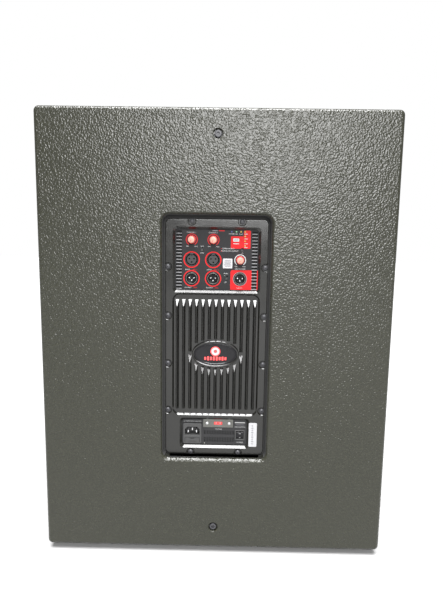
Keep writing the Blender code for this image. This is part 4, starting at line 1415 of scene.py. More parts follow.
class PrintLayer:
    """Ink printed on a sheet, one look for each colour."""

    LOOKS = [Look.WHITE_INK, Look.RED_INK, Look.GREY_INK, Look.LABEL]

    def __init__(self, face: float) -> None:
        """Start a layer.

        Args:
            face: depth of the printed surface.
        """
        self.shape = Shape()
        self.low, self.high = face - 0.02 * MM, face + 0.07 * MM

    def _ink(self, look: Look) -> None:
        """Choose the ink."""
        self.shape.paint(self.LOOKS.index(look))

    def outline(self, look: Look, points: Outline) -> None:
        """Fill an outline given in millimetres to the right and up."""
        self._ink(look)
        self.shape.prism([(-right * MM, up * MM) for right, up in points], self.low, self.high)

    def bar(self, look: Look, right: float, up: float, width: float, height: float,
            corner: float = 0.0) -> None:
        """Printed bar or block.

        Args:
            look: its ink.
            right: its middle, in millimetres.
            up: its middle, in millimetres.
            width: in millimetres.
            height: in millimetres.
            corner: radius of its corners, in millimetres.
        """
        corner = corner or min(width, height) * 0.12
        self.outline(look, rounded_rect(width, height, corner, 3, (right, up)))

    def ring(self, look: Look, right: float, up: float, inner: float, outer: float,
             gap: float = 0.0) -> None:
        """Printed ring.

        Args:
            look: its ink.
            right: its middle, in millimetres.
            up: its middle, in millimetres.
            inner: inner radius, in millimetres.
            outer: outer radius, in millimetres.
            gap: angle left open at its bottom, in degrees.
        """
        if gap == 0:
            self._ink(look)
            self.shape.lathe([(inner * MM, self.low), (outer * MM, self.low), (outer * MM, self.high),
                              (inner * MM, self.high)], (-right * MM, up * MM), 56)
            return
        steps = 40
        points = []
        for radius, order in ((outer, range(steps + 1)), (inner, range(steps, -1, -1))):
            for step in order:
                angle = math.radians(-90 + gap / 2 + (360 - gap) * step / steps)
                points.append((right + radius * math.cos(angle), up + radius * math.sin(angle)))
        self.outline(look, points)

    def words(self, look: Look, text: str, right: float, up: float, height: float) -> None:
        """Printed words.

        Args:
            look: their ink.
            text: what is written.
            right: their middle, in millimetres.
            up: their middle, in millimetres.
            height: height of a capital, in millimetres.
        """
        self._ink(look)
        move = Matrix.Translation((-right * MM, (self.low + self.high) / 2, up * MM))
        self.shape.add(lettering(text, height * MM), move)

    def build(self, name: str, tool: Optional[Shape] = None) -> None:
        """Make the layer, with holes cut through it if a tool is given."""
        if tool is not None:
            self.shape = carved(self.shape, tool)
        piece(name, self.shape, self.LOOKS, angle=30.0)


@dataclass
class ControlPanel:
    """Recessed sheet with the signal sockets, knobs, switches, lamps and air slots."""

    slots: int = 18
    slot_top: float = 539.3
    slot_pitch: float = 5.2
    slot_right: float = 60.4
    slot_size: Pair = (8.8, 3.5)
    socket_hole: float = 10.4 * MM
    knob_hole: float = 3.8 * MM
    lamps: Sequence[tuple[float, float, int]] = (
        (44.8, 540.4, 1), (44.8, 533.1, 1), (44.8, 525.4, 1), (44.8, 518.0, 1), (23.3, 540.2, 2),
        (30.8, 540.2, 0), (38.1, 540.3, 1))

    def build(self) -> None:
        """Make the sheet, its louvres, its print and its lamps."""
        room = Room.of("control_panel")
        self.room = room
        self.low, self.high = room.low.y, room.high.y
        sheet = Shape().prism(rect(room.low.x, room.high.x, room.low.z, room.high.z), self.low, self.high)
        sheet = carved(sheet, self.holes(self.low - 2 * MM, self.high + 2 * MM, True))
        # The rolled lips take the much lighter coat: a painted highlight on the same sheet.
        sheet.paint(1)
        for right, up in self._slot_places():
            self._louvre(sheet, right, up)
        piece("control_panel_piece", sheet, [Look.PANEL, Look.LIT_LOUVRE], replaces=["control_panel"])
        # Near-black sheets behind the two columns of air slots: painted shade inside the slots.
        slot_shade = Shape()
        low_end = self.slot_top - self.slots * self.slot_pitch
        for right in (-self.slot_right, self.slot_right):
            outline = rect((-right - 5.6) * MM, (5.6 - right) * MM, low_end * MM, (self.slot_top + 3) * MM)
            slot_shade.prism(outline, self.low - 6.0 * MM, self.low - 4.0 * MM)
        piece("panel_slot_shades", slot_shade, [Look.FOAM])
        self.blocks()
        self.labels()
        self.lights()

    def _slot_places(self) -> Iterable[Pair]:
        """Middle of every air slot, in millimetres."""
        for right in (-self.slot_right, self.slot_right):
            for step in range(self.slots):
                yield right, self.slot_top - step * self.slot_pitch

    def _louvre(self, sheet: Shape, right: float, up: float) -> None:
        """Rolled lip under one air slot."""
        width = self.slot_size[0] * MM
        x = -right * MM
        base = (up - self.slot_pitch / 2) * MM
        section = [(0.9, -0.3), (1.0, 0.15), (0.75, 0.5), (0.3, 0.72), (-0.3, 0.72), (-0.75, 0.5),
                   (-1.0, 0.15), (-0.9, -0.3)]
        rings = []
        for offset, scale in ((-width / 2, 0.4), (-width / 2 + 0.7 * MM, 1.0), (width / 2 - 0.7 * MM, 1.0),
                              (width / 2, 0.4)):
            rings.append([Vector((x + offset, self.high + y * scale * MM, base + z * MM * 0.8))
                          for z, y in section])
        sheet.loft(rings)

    def holes(self, low: float, high: float, all_of_them: bool) -> Shape:
        """Cutters of the sheet.

        Args:
            low: where the cut starts.
            high: where it ends.
            all_of_them: cut every socket and knob too, not only the slots, the switches and the last output.

        Returns:
            The cutters.
        """
        tool = Shape()
        width, height = self.slot_size
        for right, up in self._slot_places():
            tool.prism(rounded_rect(width * MM, height * MM, 1.0 * MM, 3, (-right * MM, up * MM)), low, high)
        for node in ("xlr_output_3",) if not all_of_them else (
                "xlr_input_1", "xlr_input_2", "xlr_output_1", "xlr_output_2", "xlr_output_3"):
            centre = Room.of(node).centre
            tool.prism(oval(self.socket_hole, self.socket_hole, 56, (centre.x, centre.z)), low, high)
        if all_of_them:
            for node in ("gain_knob_1", "gain_knob_2", "crossover_knob"):
                centre = Room.of(node).centre
                tool.prism(oval(self.knob_hole, self.knob_hole, 24, (centre.x, centre.z)), low, high)
        for node in ("slide_switch_1", "slide_switch_2", "slide_switch_3"):
            lever = Room.of(node)
            tool.prism(rect(lever.low.x - 0.4 * MM, lever.high.x + 0.4 * MM, lever.low.z - 0.4 * MM,
                            lever.high.z + 3.4 * MM), low, high)
        return tool

    def blocks(self) -> None:
        """Solid red areas, cut where the slots and the socket pass through."""
        layer = PrintLayer(self.high)
        layer.outline(Look.RED_INK, [
            (22.2, 514.6), (23.2, 513.6), (52.6, 513.6), (53.6, 514.6), (53.6, 541.4), (52.6, 542.4),
            (43.7, 542.4), (42.7, 541.4), (42.7, 534.2), (41.7, 533.2), (23.2, 533.2), (22.2, 532.2)])
        layer.outline(Look.RED_INK, [
            (22.3, 447.4), (66.4, 447.4), (66.4, 479.2), (25.6, 479.2), (23.9, 478.7), (22.7, 477.5),
            (22.3, 475.9)])
        layer.build("panel_print_blocks", self.holes(self.high - MM, self.high + MM, False))

    def labels(self) -> None:
        """Rings, words and marks."""
        layer = PrintLayer(self.high + 0.05 * MM)
        white, red, grey = Look.WHITE_INK, Look.RED_INK, Look.GREY_INK
        for number in (1, 2):
            knob = Room.of("gain_knob_%d" % number).centre / MM
            right = -knob.x
            layer.ring(red, right, knob.z, 8.2, 9.5, 62)
            layer.words(white, "CHANNEL %d" % number, right - 0.5, knob.z + 11.3, 2.0)
            layer.words(white, "MIN", right - 6.6, knob.z - 10.8, 1.8)
            layer.words(white, "MAX", right + 6.8, knob.z - 10.8, 1.8)
            plug = Room.of("xlr_input_%d" % number).centre / MM
            layer.ring(red, -plug.x, plug.z, 11.4, 13.3)
            layer.words(white, "INPUT", -plug.x - 6.4, plug.z - 16.1, 2.0)
            layer.words(red, "BAL %d" % number, -plug.x + 5.6, plug.z - 16.1, 2.0)
            jack = Room.of("xlr_output_%d" % number).centre / MM
            layer.ring(red, -jack.x, jack.z, 11.5, 13.2)
            layer.words(white, "OUTPUT", -jack.x - 5.6, jack.z - 15.0, 2.0)
            layer.words(red, "LINK", -jack.x + 6.2, jack.z - 15.0, 2.0)
        knob = Room.of("crossover_knob").centre / MM
        layer.ring(white, -knob.x, knob.z, 8.0, 9.4, 70)
        layer.words(white, "MIN", -knob.x - 6.4, knob.z - 10.2, 1.8)
        layer.words(white, "MAX", -knob.x + 6.4, knob.z - 10.2, 1.8)
        layer.words(white, "CROSSOVER", -knob.x, knob.z - 14.2, 2.2)
        jack = Room.of("xlr_output_3").centre / MM
        layer.ring(grey, -jack.x, jack.z, 10.45, 11.3)
        layer.words(white, "SUB OUT", -jack.x - 0.4, jack.z - 14.8, 1.6)
        self._small_marks(layer)
        layer.build("panel_print_labels")

    @staticmethod
    def _small_marks(layer: PrintLayer) -> None:
        """Words beside the switches and lamps, and the plain label."""
        white, red, grey = Look.WHITE_INK, Look.RED_INK, Look.GREY_INK
        layer.words(white, "LIFT", -23.4, 516.3, 2.0)
        layer.words(white, "GND", -23.4, 506.0, 2.0)
        layer.words(white, "0", 13.2, 470.0, 1.9)
        layer.words(white, "180", 14.4, 459.4, 1.9)
        layer.words(white, "PHASE", 14.6, 473.6, 1.7)
        layer.words(white, "ON", 40.6, 506.6, 1.5)
        layer.words(white, "STEREO INPUT", 18.4, 513.4, 2.1)
        layer.words(white, "MONO SUB OUTPUT", 20.6, 509.6, 2.1)
        for up in (513.4, 509.6):
            layer.bar(red, 7.2, up, 1.3, 1.3, 0.6)
        layer.words(white, "POWER", 23.3, 536.6, 1.9)
        layer.words(white, "SIG", 31.0, 536.6, 1.9)
        layer.words(white, "PEAK", 38.3, 536.6, 1.9)
        for up in (536.8, 529.2, 521.6, 515.6):
            layer.bar(Look.LABEL, 46.2, up, 5.4, 0.8)
        layer.bar(white, 30.6, 527.3, 9.6, 5.2, 1.0)
        layer.bar(Look.LABEL, 30.6, 521.4, 9.0, 1.1)
        layer.bar(grey, -3.2, 541.6, 8.4, 1.4, 0.6)
        layer.bar(red, 7.4, 541.6, 9.4, 1.4, 0.6)
        layer.bar(Look.LABEL, 17.5, 489.8, 15.2, 15.6, 0.8)
        marks = PrintLayer(layer.high + 0.01 * MM)
        marks.bar(grey, 30.6, 527.3, 6.0, 0.8)
        for step in range(5):
            marks.bar(grey, 17.5, 494.2 - 2.2 * step, 11.0 if step % 2 else 9.0, 1.1, 0.3)
        marks.build("panel_print_marks")

    def lights(self) -> None:
        """Domed lamp lenses."""
        shape = Shape()
        for right, up, coat in self.lamps:
            shape.paint(coat)
            shape.lathe([(0.0, self.high + 0.9 * MM), (0.7 * MM, self.high + 0.8 * MM),
                         (1.2 * MM, self.high + 0.45 * MM), (1.4 * MM, self.high - 0.1 * MM),
                         (0.0, self.high - 0.1 * MM)], (-right * MM, up * MM), 20)
        piece("panel_lamps", shape, [Look.GREEN_LAMP, Look.AMBER_LAMP, Look.DARK_LAMP], angle=60.0)


@dataclass
class InputSocket:
    """Three-hole socket with a ring groove and its release tab."""

    number: int
    insert: float = 8.1 * MM
    mouth: float = 10.1 * MM
    contact: float = 4.0 * MM

    def build(self) -> None:
        """Make the socket and the tab that rides on its own body."""
        node, tab = "xlr_input_%d" % self.number, "xlr_release_%d" % self.number
        room = Room.of(node)
        centre = (room.centre.x, room.centre.z)
        front = Room.of("control_panel").high.y
        back = room.low.y
        wide = room.size.x / 2
        shell = Shape().lathe([
            (0.0, front - 14 * MM), (9.6 * MM, front - 14 * MM), (9.6 * MM, front + 0.2 * MM),
            (self.mouth, front + 0.5 * MM), (self.mouth + 0.2 * MM, front + 0.1 * MM),
            (self.mouth + 0.2 * MM, front - 1.8 * MM), (wide, front - 1.8 * MM), (wide, back),
            (0.0, back)], centre, 48)
        face = front - 0.3 * MM
        insert = Shape().lathe([
            (0.0, face), (self.insert - 0.7 * MM, face), (self.insert, face - 0.7 * MM),
            (self.insert, front - 14.5 * MM), (0.0, front - 14.5 * MM)], centre, 48)
        tool = Shape()
        for angle in (20, 160, 270):
            spot = (centre[0] + self.contact * math.cos(math.radians(angle)),
                    centre[1] + self.contact * math.sin(math.radians(angle)))
            tool.loft([Axis.Y.ring(oval(radius, radius, 20, spot), y) for radius, y in (
                (1.15 * MM, face - 9 * MM), (1.15 * MM, face - 0.3 * MM), (1.6 * MM, face + 0.3 * MM))])
        tool.prism(rounded_rect(3.4 * MM, 2.4 * MM, 0.6 * MM, 3, (centre[0], centre[1] + self.insert)),
                   face - 9 * MM, face + MM)
        insert = carved(insert, tool)
        shell.paint(1).add(insert)
        piece(node + "_piece", shell, [Look.BLACK_PLASTIC, Look.GREY_INSERT], replaces=[node], angle=32.0)
        top = centre[1] + 9.05 * MM
        latch = Shape().prism(rounded_rect(5.2 * MM, 1.5 * MM, 0.5 * MM, 3, (centre[0], top)),
                              front - 8 * MM, front + 1.0 * MM)
        piece(tab + "_piece", latch, [Look.BLACK_STEEL], tab, [tab], 0.15 * MM)


@dataclass
class OutputSocket:
    """Plated socket with an open well and three pins."""

    number: int
    well: float = 8.0 * MM
    rim: float = 9.4 * MM

    def build(self) -> None:
        """Make the socket and its pins."""
        node = "xlr_output_%d" % self.number
        room = Room.of(node)
        centre = (room.centre.x, room.centre.z)
        front = Room.of("control_panel").high.y
        wide, back = room.size.x / 2, room.low.y
        floor = front - 13.5 * MM
        shell = Shape().lathe([
            (self.well, floor - MM), (self.well, front + 0.4 * MM), (self.well + 0.4 * MM, front + 0.9 * MM),
            (self.rim - 0.5 * MM, front + 0.9 * MM), (self.rim, front + 0.3 * MM),
            (self.rim, back), (self.well, back)], centre, 48)
        shell.paint(1).lathe([(self.rim - 0.2 * MM, front - 1.8 * MM), (wide, front - 1.8 * MM), (wide, back),
                              (self.rim - 0.2 * MM, back)], centre, 48)
        shell.lathe([(0.0, floor), (self.well - 0.1 * MM, floor), (self.well - 0.1 * MM, back),
                              (0.0, back)], centre, 48)
        shell.lathe([(self.well - 0.35 * MM, floor - 0.5 * MM), (self.well - 0.35 * MM, front - 0.6 * MM),
                     (self.well - 0.02 * MM, front - 0.6 * MM), (self.well - 0.02 * MM, floor - 0.5 * MM)],
                    centre, 48)
        shell.paint(2)
        for angle in (175, 270, 5):
            spot = (centre[0] + 3.9 * MM * math.cos(math.radians(angle)),
                    centre[1] + 3.9 * MM * math.sin(math.radians(angle)) + 0.3 * MM)
            shell.lathe([(0.0, front - 1.6 * MM), (0.7 * MM, front - 1.7 * MM), (1.2 * MM, front - 2.3 * MM),
                         (1.25 * MM, floor - MM), (0.0, floor - MM)], spot, 20)
        piece(node + "_piece", shell, [Look.ZINC, Look.DARK_GLOSS, Look.BRIGHT_STEEL], replaces=[node],
              angle=32.0)


@dataclass
class Knob:
    """Fluted knob with a pale cap and a pointer, set at its minimum."""

    name: str
    flutes: int = 18
    cap: float = 5.3 * MM
    start: float = 240.0

    def build(self) -> None:
        """Make the knob on its own body."""
        room = Room.of(self.name)
        centre = (room.centre.x, room.centre.z)
        radius, top = room.size.x / 2, room.high.y
        base = top - 12 * MM
        rings = []
        for depth, reach, groove in ((base, radius, 0.0), (base + 1.6 * MM, radius, 0.0),
                                     (base + 2.2 * MM, radius - 0.4 * MM, 0.35 * MM),
                                     (top - 1.6 * MM, radius - 0.9 * MM, 0.35 * MM),
                                     (top - 0.9 * MM, radius - 1.2 * MM, 0.1 * MM)):
            outline = []
            count = self.flutes * 4
            for step in range(count):
                angle = 2 * math.pi * step / count
                cut = groove if step % 4 in (1, 2) else 0.0
                outline.append((centre[0] + (reach - cut) * math.cos(angle),
                                centre[1] + (reach - cut) * math.sin(angle)))
            rings.append(Axis.Y.ring(outline, depth))
        shape = Shape().loft(rings)
        shape.prism(oval(3.0 * MM, 3.0 * MM, 24, centre), room.low.y, base + MM)
        shape.paint(1).lathe([
            (0.0, top), (self.cap - 0.8 * MM, top - 0.05 * MM), (self.cap - 0.2 * MM, top - 0.4 * MM),
            (self.cap, top - 1.1 * MM), (self.cap, top - 2.0 * MM), (0.0, top - 2.0 * MM)], centre, 48)
        angle = math.radians(180.0 - self.start)
        along = Vector((math.cos(angle), 0.0, math.sin(angle)))
        side = Vector((-along.z, 0.0, along.x))
        middle = Vector((centre[0], top, centre[1]))
        mark = [middle + along * u * MM + side * v * MM for u, v in (
            (0.6, -0.35), (4.3, -0.45), (4.3, 0.45), (0.6, 0.35))]
        lift = Vector((0, 0.12 * MM, 0))
        shape.paint(0).loft([[point - lift * 4 for point in mark], [point + lift for point in mark]])
        piece(self.name + "_piece", shape, [Look.RED_PLASTIC, Look.CREAM_CAP], self.name, [self.name],
              angle=34.0)


@dataclass
class SlideSwitch:
    """Lever of a slide switch, with the dark housing behind its slot."""

    number: int

    def build(self) -> None:
        """Make the lever on its own body and the housing on the cabinet."""
        name = "slide_switch_%d" % self.number
        room = Room.of(name)
        x, z = room.centre.x, room.centre.z
        face = Room.of("control_panel")
        lever = Shape()
        for offset in (-0.9, 0.0, 0.9):
            lever.prism(rect(room.low.x, room.high.x, z + (offset - 0.3) * MM, z + (offset + 0.3) * MM),
                        face.high.y, room.high.y)
        lever.prism(rect(room.low.x, room.high.x, room.low.z, room.high.z), room.low.y,
                    room.high.y - 0.5 * MM)
        piece(name + "_piece", lever, [Look.BLACK_PLASTIC], name, [name], 0.1 * MM)
        depth = room.low.y
        housing = Shape().loft([Axis.Y.ring(rounded_rect(9 * MM, 12 * MM, 0.6 * MM, 3, (x, z + 1.5 * MM)), y)
                                for y in (depth - 5 * MM, depth - 0.4 * MM)])
        piece("switch_housing_%d" % self.number, housing, [Look.BLACK_STEEL], bevel=0.2 * MM)


@dataclass
class PowerPanel:
    """Lower recessed sheet with the mains parts and air slots."""

    slot_columns: int = 12
    slot_span: Pair = (-16.4, 31.4)
    slot_rows: Sequence[Pair] = ((205.4, 7.6), (193.0, 8.8))

    def build(self) -> None:
        """Make the sheet, its print and its small screw."""
        room = Room.of("power_panel")
        sheet = Shape().prism(rect(room.low.x, room.high.x, room.low.z, room.high.z), room.low.y, room.high.y)
        tool = Shape()
        low, high = room.low.y - 2 * MM, room.high.y + 2 * MM
        inlet, slider, bezel = (Room.of(node) for node in (
            "mains_inlet", "voltage_selector_slider", "rocker_bezel"))
        for x, z, half_x, half_z in (
                (inlet.centre.x, inlet.centre.z - 0.6 * MM, 14.3 * MM, 15.7 * MM),
                (Room.of("voltage_selector_plate").centre.x, slider.centre.z, 14.5 * MM, 4.2 * MM),
                (bezel.centre.x, bezel.centre.z, 7.6 * MM, 8.0 * MM)):
            tool.prism(rect(x - half_x, x + half_x, z - half_z, z + half_z), low, high)
        start, end = self.slot_span
        step = (end - start) / (self.slot_columns - 1)
        for up, tall in self.slot_rows:
            for column in range(self.slot_columns):
                right = start + column * step
                tool.prism(rounded_rect(2.0 * MM, tall * MM, 0.9 * MM, 3, (-right * MM, up * MM)), low, high)
        piece("power_panel_piece", carved(sheet, tool), [Look.COATED_STEEL], replaces=["power_panel"])
        # Near-black sheet behind the air slots: painted shade inside them.
        slot_shade = Shape().prism(rect(-(end + 1.8) * MM, -(start - 1.8) * MM, 187.5 * MM, 210.3 * MM),
                               room.low.y - 6.0 * MM, room.low.y - 4.0 * MM)
        piece("power_slot_shade", slot_shade, [Look.FOAM])
        seat = Vector((16.5 * MM, room.high.y, 186.0 * MM))
        piece("power_panel_screw", PanScrew(1.7 * MM, 1.0 * MM).row([(seat, Vector((0, 1, 0)))]),
              [Look.ZINC])
        self.labels(room.high.y)

    @staticmethod
    def labels(face: float) -> None:
        """Printed words and lines."""
        layer = PrintLayer(face)
        white, grey = Look.WHITE_INK, Look.GREY_INK
        layer.words(white, "AC MAINS INPUT AND FUSE", -37.1, 224.6, 1.7)
        layer.words(white, "VOLTAGE", 6.6, 211.4, 1.9)
        layer.bar(white, 42.7, 223.4, 17.0, 1.7, 0.4)
        layer.words(white, "MAIN SWITCH", 42.7, 215.6, 1.9)
        layer.bar(grey, 42.7, 219.6, 15.0, 0.8, 0.3)
        layer.words(white, "POWER", 42.7, 188.6, 2.4)
        layer.build("power_print_labels")


@dataclass
class MainsInlet:
    """Three-blade inlet with the fuse drawer under it."""

    well: Pair = (12.2 * MM, 7.4 * MM)

    def build(self) -> None:
        """Make the inlet and the drawer that rides on its own body."""
        room = Room.of("mains_inlet")
        drawer = Room.of("fuse_drawer")
        x, z = room.centre.x, room.centre.z
        front = room.high.y
        panel = Room.of("power_panel").high.y
        outline = (31.3 * MM, 35.6 * MM)

        def ring(inset: float, y: float) -> Ring:
            """Bezel section, set in by some amount."""
            return Axis.Y.ring(rounded_rect(outline[0] - 2 * inset, outline[1] - 2 * inset,
                                            2.6 * MM - inset, 5, (x, z)), y)

        body = Shape().loft([
            ring(0.0, panel + 0.3 * MM), ring(0.0, front - 0.9 * MM), ring(0.4 * MM, front - 0.25 * MM),
            ring(1.1 * MM, front)])
        neck = rounded_rect(28 * MM, 31 * MM, MM, 5, (x, z - 0.6 * MM))
        body = carved(body, Shape().prism(neck, room.low.y, panel + 0.6 * MM), "UNION")
        mid = drawer.centre.z + 15.8 * MM
        half_u, half_v = self.well
        shoulder = mid + half_v - 4.5 * MM
        cavity = [(x - half_u, mid - half_v), (x + half_u, mid - half_v), (x + half_u, shoulder),
                  (x + 8 * MM, mid + half_v), (x - 8 * MM, mid + half_v), (x - half_u, shoulder)]
        tool = Shape().prism(cavity, front - 17 * MM, front + 2 * MM)
        tool.prism(rounded_rect(24.6 * MM, 9.2 * MM, 0.8 * MM, 3, (x, drawer.centre.z)), front - 26.2 * MM,
                   front + 2 * MM)
        body = carved(body, tool)
        body.paint(1)
        for shift, rise in ((0.0, 2.4), (7.0, -1.8), (-7.0, -1.8)):
            outline_blade = rounded_rect(2.0 * MM, 4.0 * MM, 0.5 * MM, 2, (x + shift * MM, mid + rise * MM))
            body.prism(outline_blade, front - 18 * MM, front - 3 * MM)
        piece("mains_inlet_piece", body, [Look.BLACK_PLASTIC, Look.BRIGHT_STEEL], replaces=["mains_inlet"],
              bevel=0.35 * MM)
        box = rounded_rect(drawer.size.x, drawer.size.z, 0.7 * MM, 3, (x, drawer.centre.z))
        face = Shape().prism(box, drawer.low.y, drawer.high.y)
        notch = Shape().prism(rounded_rect(7 * MM, 2.2 * MM, 0.6 * MM, 3, (x, drawer.high.z - 1.1 * MM)),
                              drawer.high.y - 1.6 * MM, drawer.high.y + MM)
        face = carved(face, notch)
        for offset in (-0.9, -2.1, -3.3):
            middle = (x, drawer.centre.z + (offset + 0.6) * MM)
            face.prism(rounded_rect(14 * MM, 0.5 * MM, 0.2 * MM, 2, middle),
                       drawer.high.y - 0.3 * MM, drawer.high.y + 0.25 * MM)
        piece("fuse_drawer_piece", face, [Look.BLACK_PLASTIC], "fuse_drawer", ["fuse_drawer"], 0.15 * MM)


@dataclass
class VoltageSelector:
    """Plate with a slot, two screws and the red slider behind it."""

    def build(self) -> None:
        """Make the plate, its screws and the slider on its own body."""
        plate, slider = Room.of("voltage_selector_plate"), Room.of("voltage_selector_slider")
        x, z = plate.centre.x, plate.centre.z
        outline = rounded_rect(plate.size.x, plate.size.z, 1.2 * MM, 4, (x, z))
        shape = Shape().prism(outline, plate.low.y, plate.high.y)
        slot = Shape().prism(rounded_rect(13.8 * MM, 5.2 * MM, 0.6 * MM, 3, (x, z)), plate.low.y - MM,
                             plate.high.y + MM)
        piece("voltage_selector_plate_piece", carved(shape, slot), [Look.ZINC],
              replaces=["voltage_selector_plate"], bevel=0.5 * MM)
        out = Vector((0, 1, 0))
        spots = [(Vector((x + side * 18.5 * MM, plate.high.y, z)), out) for side in (-1, 1)]
        piece("voltage_selector_screws", PanScrew(2.5 * MM, 1.4 * MM).row(spots), [Look.BRIGHT_STEEL])
        body = Shape().prism(rounded_rect(slider.size.x, slider.size.z, 0.5 * MM, 2,
                                          (slider.centre.x, slider.centre.z)), slider.low.y, slider.high.y)
        body.paint(1)
        for side in (-1, 1):
            body.prism(rounded_rect(1.0 * MM, 2.6 * MM, 0.3 * MM, 2, (x + side * 3.4 * MM, z)),
                       slider.high.y - 0.2 * MM, slider.high.y + 0.05 * MM)
        name = "voltage_selector_slider"
        piece(name + "_piece", body, [Look.RED_PLASTIC, Look.WHITE_INK], name, [name], 0.1 * MM)


@dataclass
class PowerRocker:
    """Rocker in its bezel, with a dot on the half that is pressed."""

    tilt: float = math.radians(8.0)
    side: Sequence[Pair] = ((6.1, 2.6), (5.6, 3.0), (3.0, 3.9), (0.0, 3.9), (-3.0, 3.9), (-5.6, 3.0),
                            (-6.1, 2.6), (-5.4, -3.6), (-3.0, -5.2), (3.0, -5.2), (5.4, -3.6))

    def build(self) -> None:
        """Make the bezel and the rocker on its own body."""
        bezel = Room.of("rocker_bezel")
        x, z = bezel.centre.x, bezel.centre.z
        front = bezel.high.y
        panel = Room.of("power_panel").high.y + 0.3 * MM

        def ring(width: float, height: float, corner: float, y: float) -> Ring:
            """One rounded section of the bezel."""
            return Axis.Y.ring(rounded_rect(width * MM, height * MM, corner * MM, 4, (x, z)), y)

        rings = [ring(12.4, 14.2, 0.6, front - 14 * MM), ring(12.4, 14.2, 0.6, front - 0.8 * MM),
                 ring(13.6, 15.0, 1.0, front), ring(16.2, 16.8, 1.2, front),
                 ring(17.2, 17.8, 1.4, front - 0.9 * MM), ring(17.2, 17.8, 1.4, panel),
                 ring(14.8, 15.6, 0.8, panel), ring(14.8, 15.6, 0.8, bezel.low.y)]
        piece("rocker_bezel_piece", Shape().loft(rings), [Look.BLACK_PLASTIC], replaces=["rocker_bezel"],
              bevel=0.12 * MM)
        pivot = front - 4 * MM
        turn = (math.cos(self.tilt), math.sin(self.tilt))

        def place(along: float, out: float, across: float) -> Vector:
            """Point of the tilted rocker."""
            return Vector((x + across * MM, pivot + (along * turn[1] + out * turn[0]) * MM,
                           z + (along * turn[0] - out * turn[1]) * MM))

        shape = Shape().loft([[place(along, out, across) for along, out in self.side]
                              for across in (-5.9, 5.9)])
        shape.paint(1)
        for along, radius in ((-3.2, 1.1), (3.4, 0.0)):
            ringed = []
            for lift in (3.6, 4.02):
                if radius:
                    ringed.append([place(along + radius * math.cos(a), lift - 0.15, radius * math.sin(a))
                                   for a in (2 * math.pi * k / 20 for k in range(20))])
                else:
                    ringed.append([place(along + dv, lift - 0.15, du) for du, dv in (
                        (-1.6, -0.3), (1.6, -0.3), (1.6, 0.3), (-1.6, 0.3))])
            shape.loft(ringed)
        piece("power_rocker_piece", shape, [Look.DARK_GLOSS, Look.WHITE_INK], "power_rocker",
              ["power_rocker"], 0.12 * MM)


@dataclass
class BlankSticker:
    """Pale label on the plate with grey lines in place of its writing."""

    right: float = 63.9
    up: float = 205.2
    size: Pair = (13.4, 41.6)
    lines: int = 9

    def build(self) -> None:
        """Lay the label on the plate."""
        face = Room.of("amp_faceplate").low.y + 6 * MM
        layer = PrintLayer(face)
        layer.bar(Look.LABEL, self.right, self.up, self.size[0], self.size[1], 1.6)
        top = PrintLayer(face + 0.06 * MM)
        for step in range(self.lines):
            up = self.up + (step - (self.lines - 1) / 2) * 3.9
            top.bar(Look.GREY_INK, self.right - 0.6, up, 3.4 if step % 2 else 2.4, 2.0, 0.4)
        layer.shape.paint(0).add(top.shape)
        layer.build("plate_label")


@dataclass
class AmplifierInside:
    """Cover, boards, transformer and fan behind the plate."""

    looks: Mapping[str, Look] = field(default_factory=lambda: {
        "amp_rear_cover": Look.COATED_STEEL, "input_board": Look.BOARD, "amplifier_board": Look.BOARD,
        "power_transformer": Look.COPPER, "fan_frame": Look.BLACK_PLASTIC, "fan_rotor": Look.BLACK_PLASTIC})

    def build(self) -> None:
        """Dress each of its nodes."""
        for node, look in self.looks.items():
            dress(node, look, 0.25 * MM)


# Studio


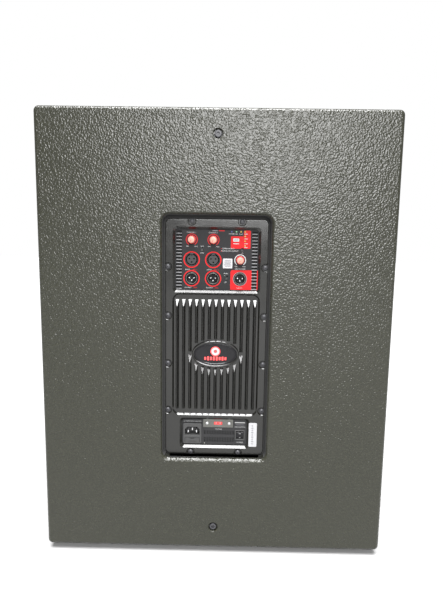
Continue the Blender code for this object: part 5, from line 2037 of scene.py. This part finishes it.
@dataclass
class Studio:
    """Pale floor, soft lights and the camera behind the cabinet."""

    place: tuple[float, float, float] = (-0.0164, 1.0473, 0.5344)
    lens: float = 28.07
    yaw: float = math.radians(0.616)
    pitch: float = math.radians(7.393)
    roll: float = math.radians(0.871)

    def build(self) -> None:
        """Set everything up."""
        self.floor()
        self.world()
        self.camera()
        self.ceiling()
        self.light("key", (-0.24, 2.75, 1.45), (-0.05, 0.33, 0.60), (1.15, 1.30), 103.0)

    @staticmethod
    def floor() -> None:
        """Plain floor that runs far past the cabinet."""
        mesh = bpy.data.meshes.new("floor")
        mesh.from_pydata([(-9, -9, 0), (9, -9, 0), (9, 9, 0), (-9, 9, 0)], [], [(0, 1, 2, 3)])
        floor = bpy.data.objects.new("floor", mesh)
        bpy.context.scene.collection.objects.link(floor)
        graph = Graph("floor")
        cloud = graph.noise(0.5, 2.0)
        graph.surface(graph.mix(cloud, (0.31, 0.31, 0.31), (0.33, 0.33, 0.33)), 0.9, Specular_IOR_Level=0.2)
        mesh.materials.append(graph.material)
        floor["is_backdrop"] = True

    @staticmethod
    def world() -> None:
        """White backdrop that lights the cabinet only a little."""
        world = bpy.data.worlds.new("studio")
        world.use_nodes = True
        tree = world.node_tree
        shader = tree.nodes["Background"]
        shader.inputs["Color"].default_value = (1.0, 1.0, 1.0, 1.0)
        seen = tree.nodes.new("ShaderNodeLightPath").outputs["Is Camera Ray"]
        strength = tree.nodes.new("ShaderNodeMapRange")
        strength.inputs["To Min"].default_value = 0.30
        strength.inputs["To Max"].default_value = 1.0
        tree.links.new(seen, strength.inputs["Value"])
        tree.links.new(strength.outputs["Result"], shader.inputs["Strength"])
        scene = bpy.context.scene
        scene.world = world
        scene.view_settings.view_transform = "Standard"

    @staticmethod
    def ceiling() -> None:
        """Wide soft light from overhead, the same all over the floor, tipped to shine on the amplifier."""
        data = bpy.data.lights.new("ceiling", "SUN")
        data.energy = 12.0
        data.angle = math.radians(40.0)
        lamp = bpy.data.objects.new("ceiling", data)
        lamp.rotation_euler = (math.radians(-14.0), 0.0, 0.0)
        bpy.context.scene.collection.objects.link(lamp)

    @staticmethod
    def light(name: str, place: tuple[float, float, float], aim: tuple[float, float, float],
              size: Pair, power: float) -> None:
        """Hang one soft box.

        Args:
            name: its name.
            place: where it hangs.
            aim: what it points at.
            size: width and height of its face.
            power: in watts.
        """
        data = bpy.data.lights.new(name, "AREA")
        data.shape = "RECTANGLE"
        data.size, data.size_y = size
        data.energy = power
        lamp = bpy.data.objects.new(name, data)
        lamp.location = place
        lamp.rotation_mode = "QUATERNION"
        lamp.rotation_quaternion = (Vector(aim) - Vector(place)).to_track_quat("-Z", "Y")
        bpy.context.scene.collection.objects.link(lamp)

    def camera(self) -> None:
        """Stand the camera close behind the amplifier side, tipped a little down."""
        ahead = Vector((math.sin(self.yaw) * math.cos(self.pitch), -math.cos(self.yaw) * math.cos(self.pitch),
                        -math.sin(self.pitch)))
        right = Vector((-math.cos(self.yaw), -math.sin(self.yaw), 0.0))
        up = right.cross(ahead)
        tipped = right * math.cos(self.roll) + up * math.sin(self.roll)
        upright = up * math.cos(self.roll) - right * math.sin(self.roll)
        data = bpy.data.cameras.new("camera")
        data.lens = self.lens
        data.sensor_width = 36.0
        data.dof.use_dof = False
        camera = bpy.data.objects.new("camera", data)
        camera.matrix_world = Matrix.Translation(self.place) @ Matrix(
            (tipped, upright, -ahead)).transposed().to_4x4()
        bpy.context.scene.collection.objects.link(camera)
        bpy.context.scene.camera = camera


def write_sizes() -> None:
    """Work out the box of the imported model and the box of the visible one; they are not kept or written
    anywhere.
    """
    boxes = {"cad": CAD_BOX, "visual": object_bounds()}
    {name: [list(low), list(high)] for name, (low, high) in boxes.items()}


def main() -> None:
    """Build every sub-assembly in the order that it is put together."""
    logging.basicConfig(level=logging.INFO, format="%(name)s: %(message)s")
    assemblies = [Cabinet(), BackBolt("back_bolt_upper"), BackBolt("back_bolt_lower"),
                  SideHandle(-1, "left"), SideHandle(1, "right"), PoleSocket()]
    assemblies += [Foot("foot_" + word) for word in ("front_left", "front_right", "back_left", "back_right")]
    assemblies += [Grille(), Driver(), Faceplate(), Badge(), ControlPanel()]
    assemblies += [InputSocket(number) for number in (1, 2)]
    assemblies += [OutputSocket(number) for number in (1, 2, 3)]
    assemblies += [Knob(name) for name in ("gain_knob_1", "gain_knob_2", "crossover_knob")]
    assemblies += [SlideSwitch(number) for number in (1, 2, 3)]
    assemblies += [PowerPanel(), MainsInlet(), VoltageSelector(), PowerRocker(), BlankSticker(),
                   AmplifierInside(), Studio()]
    for assembly in assemblies:
        assembly.build()
    write_sizes()


if __name__ == "__main__":
    main()
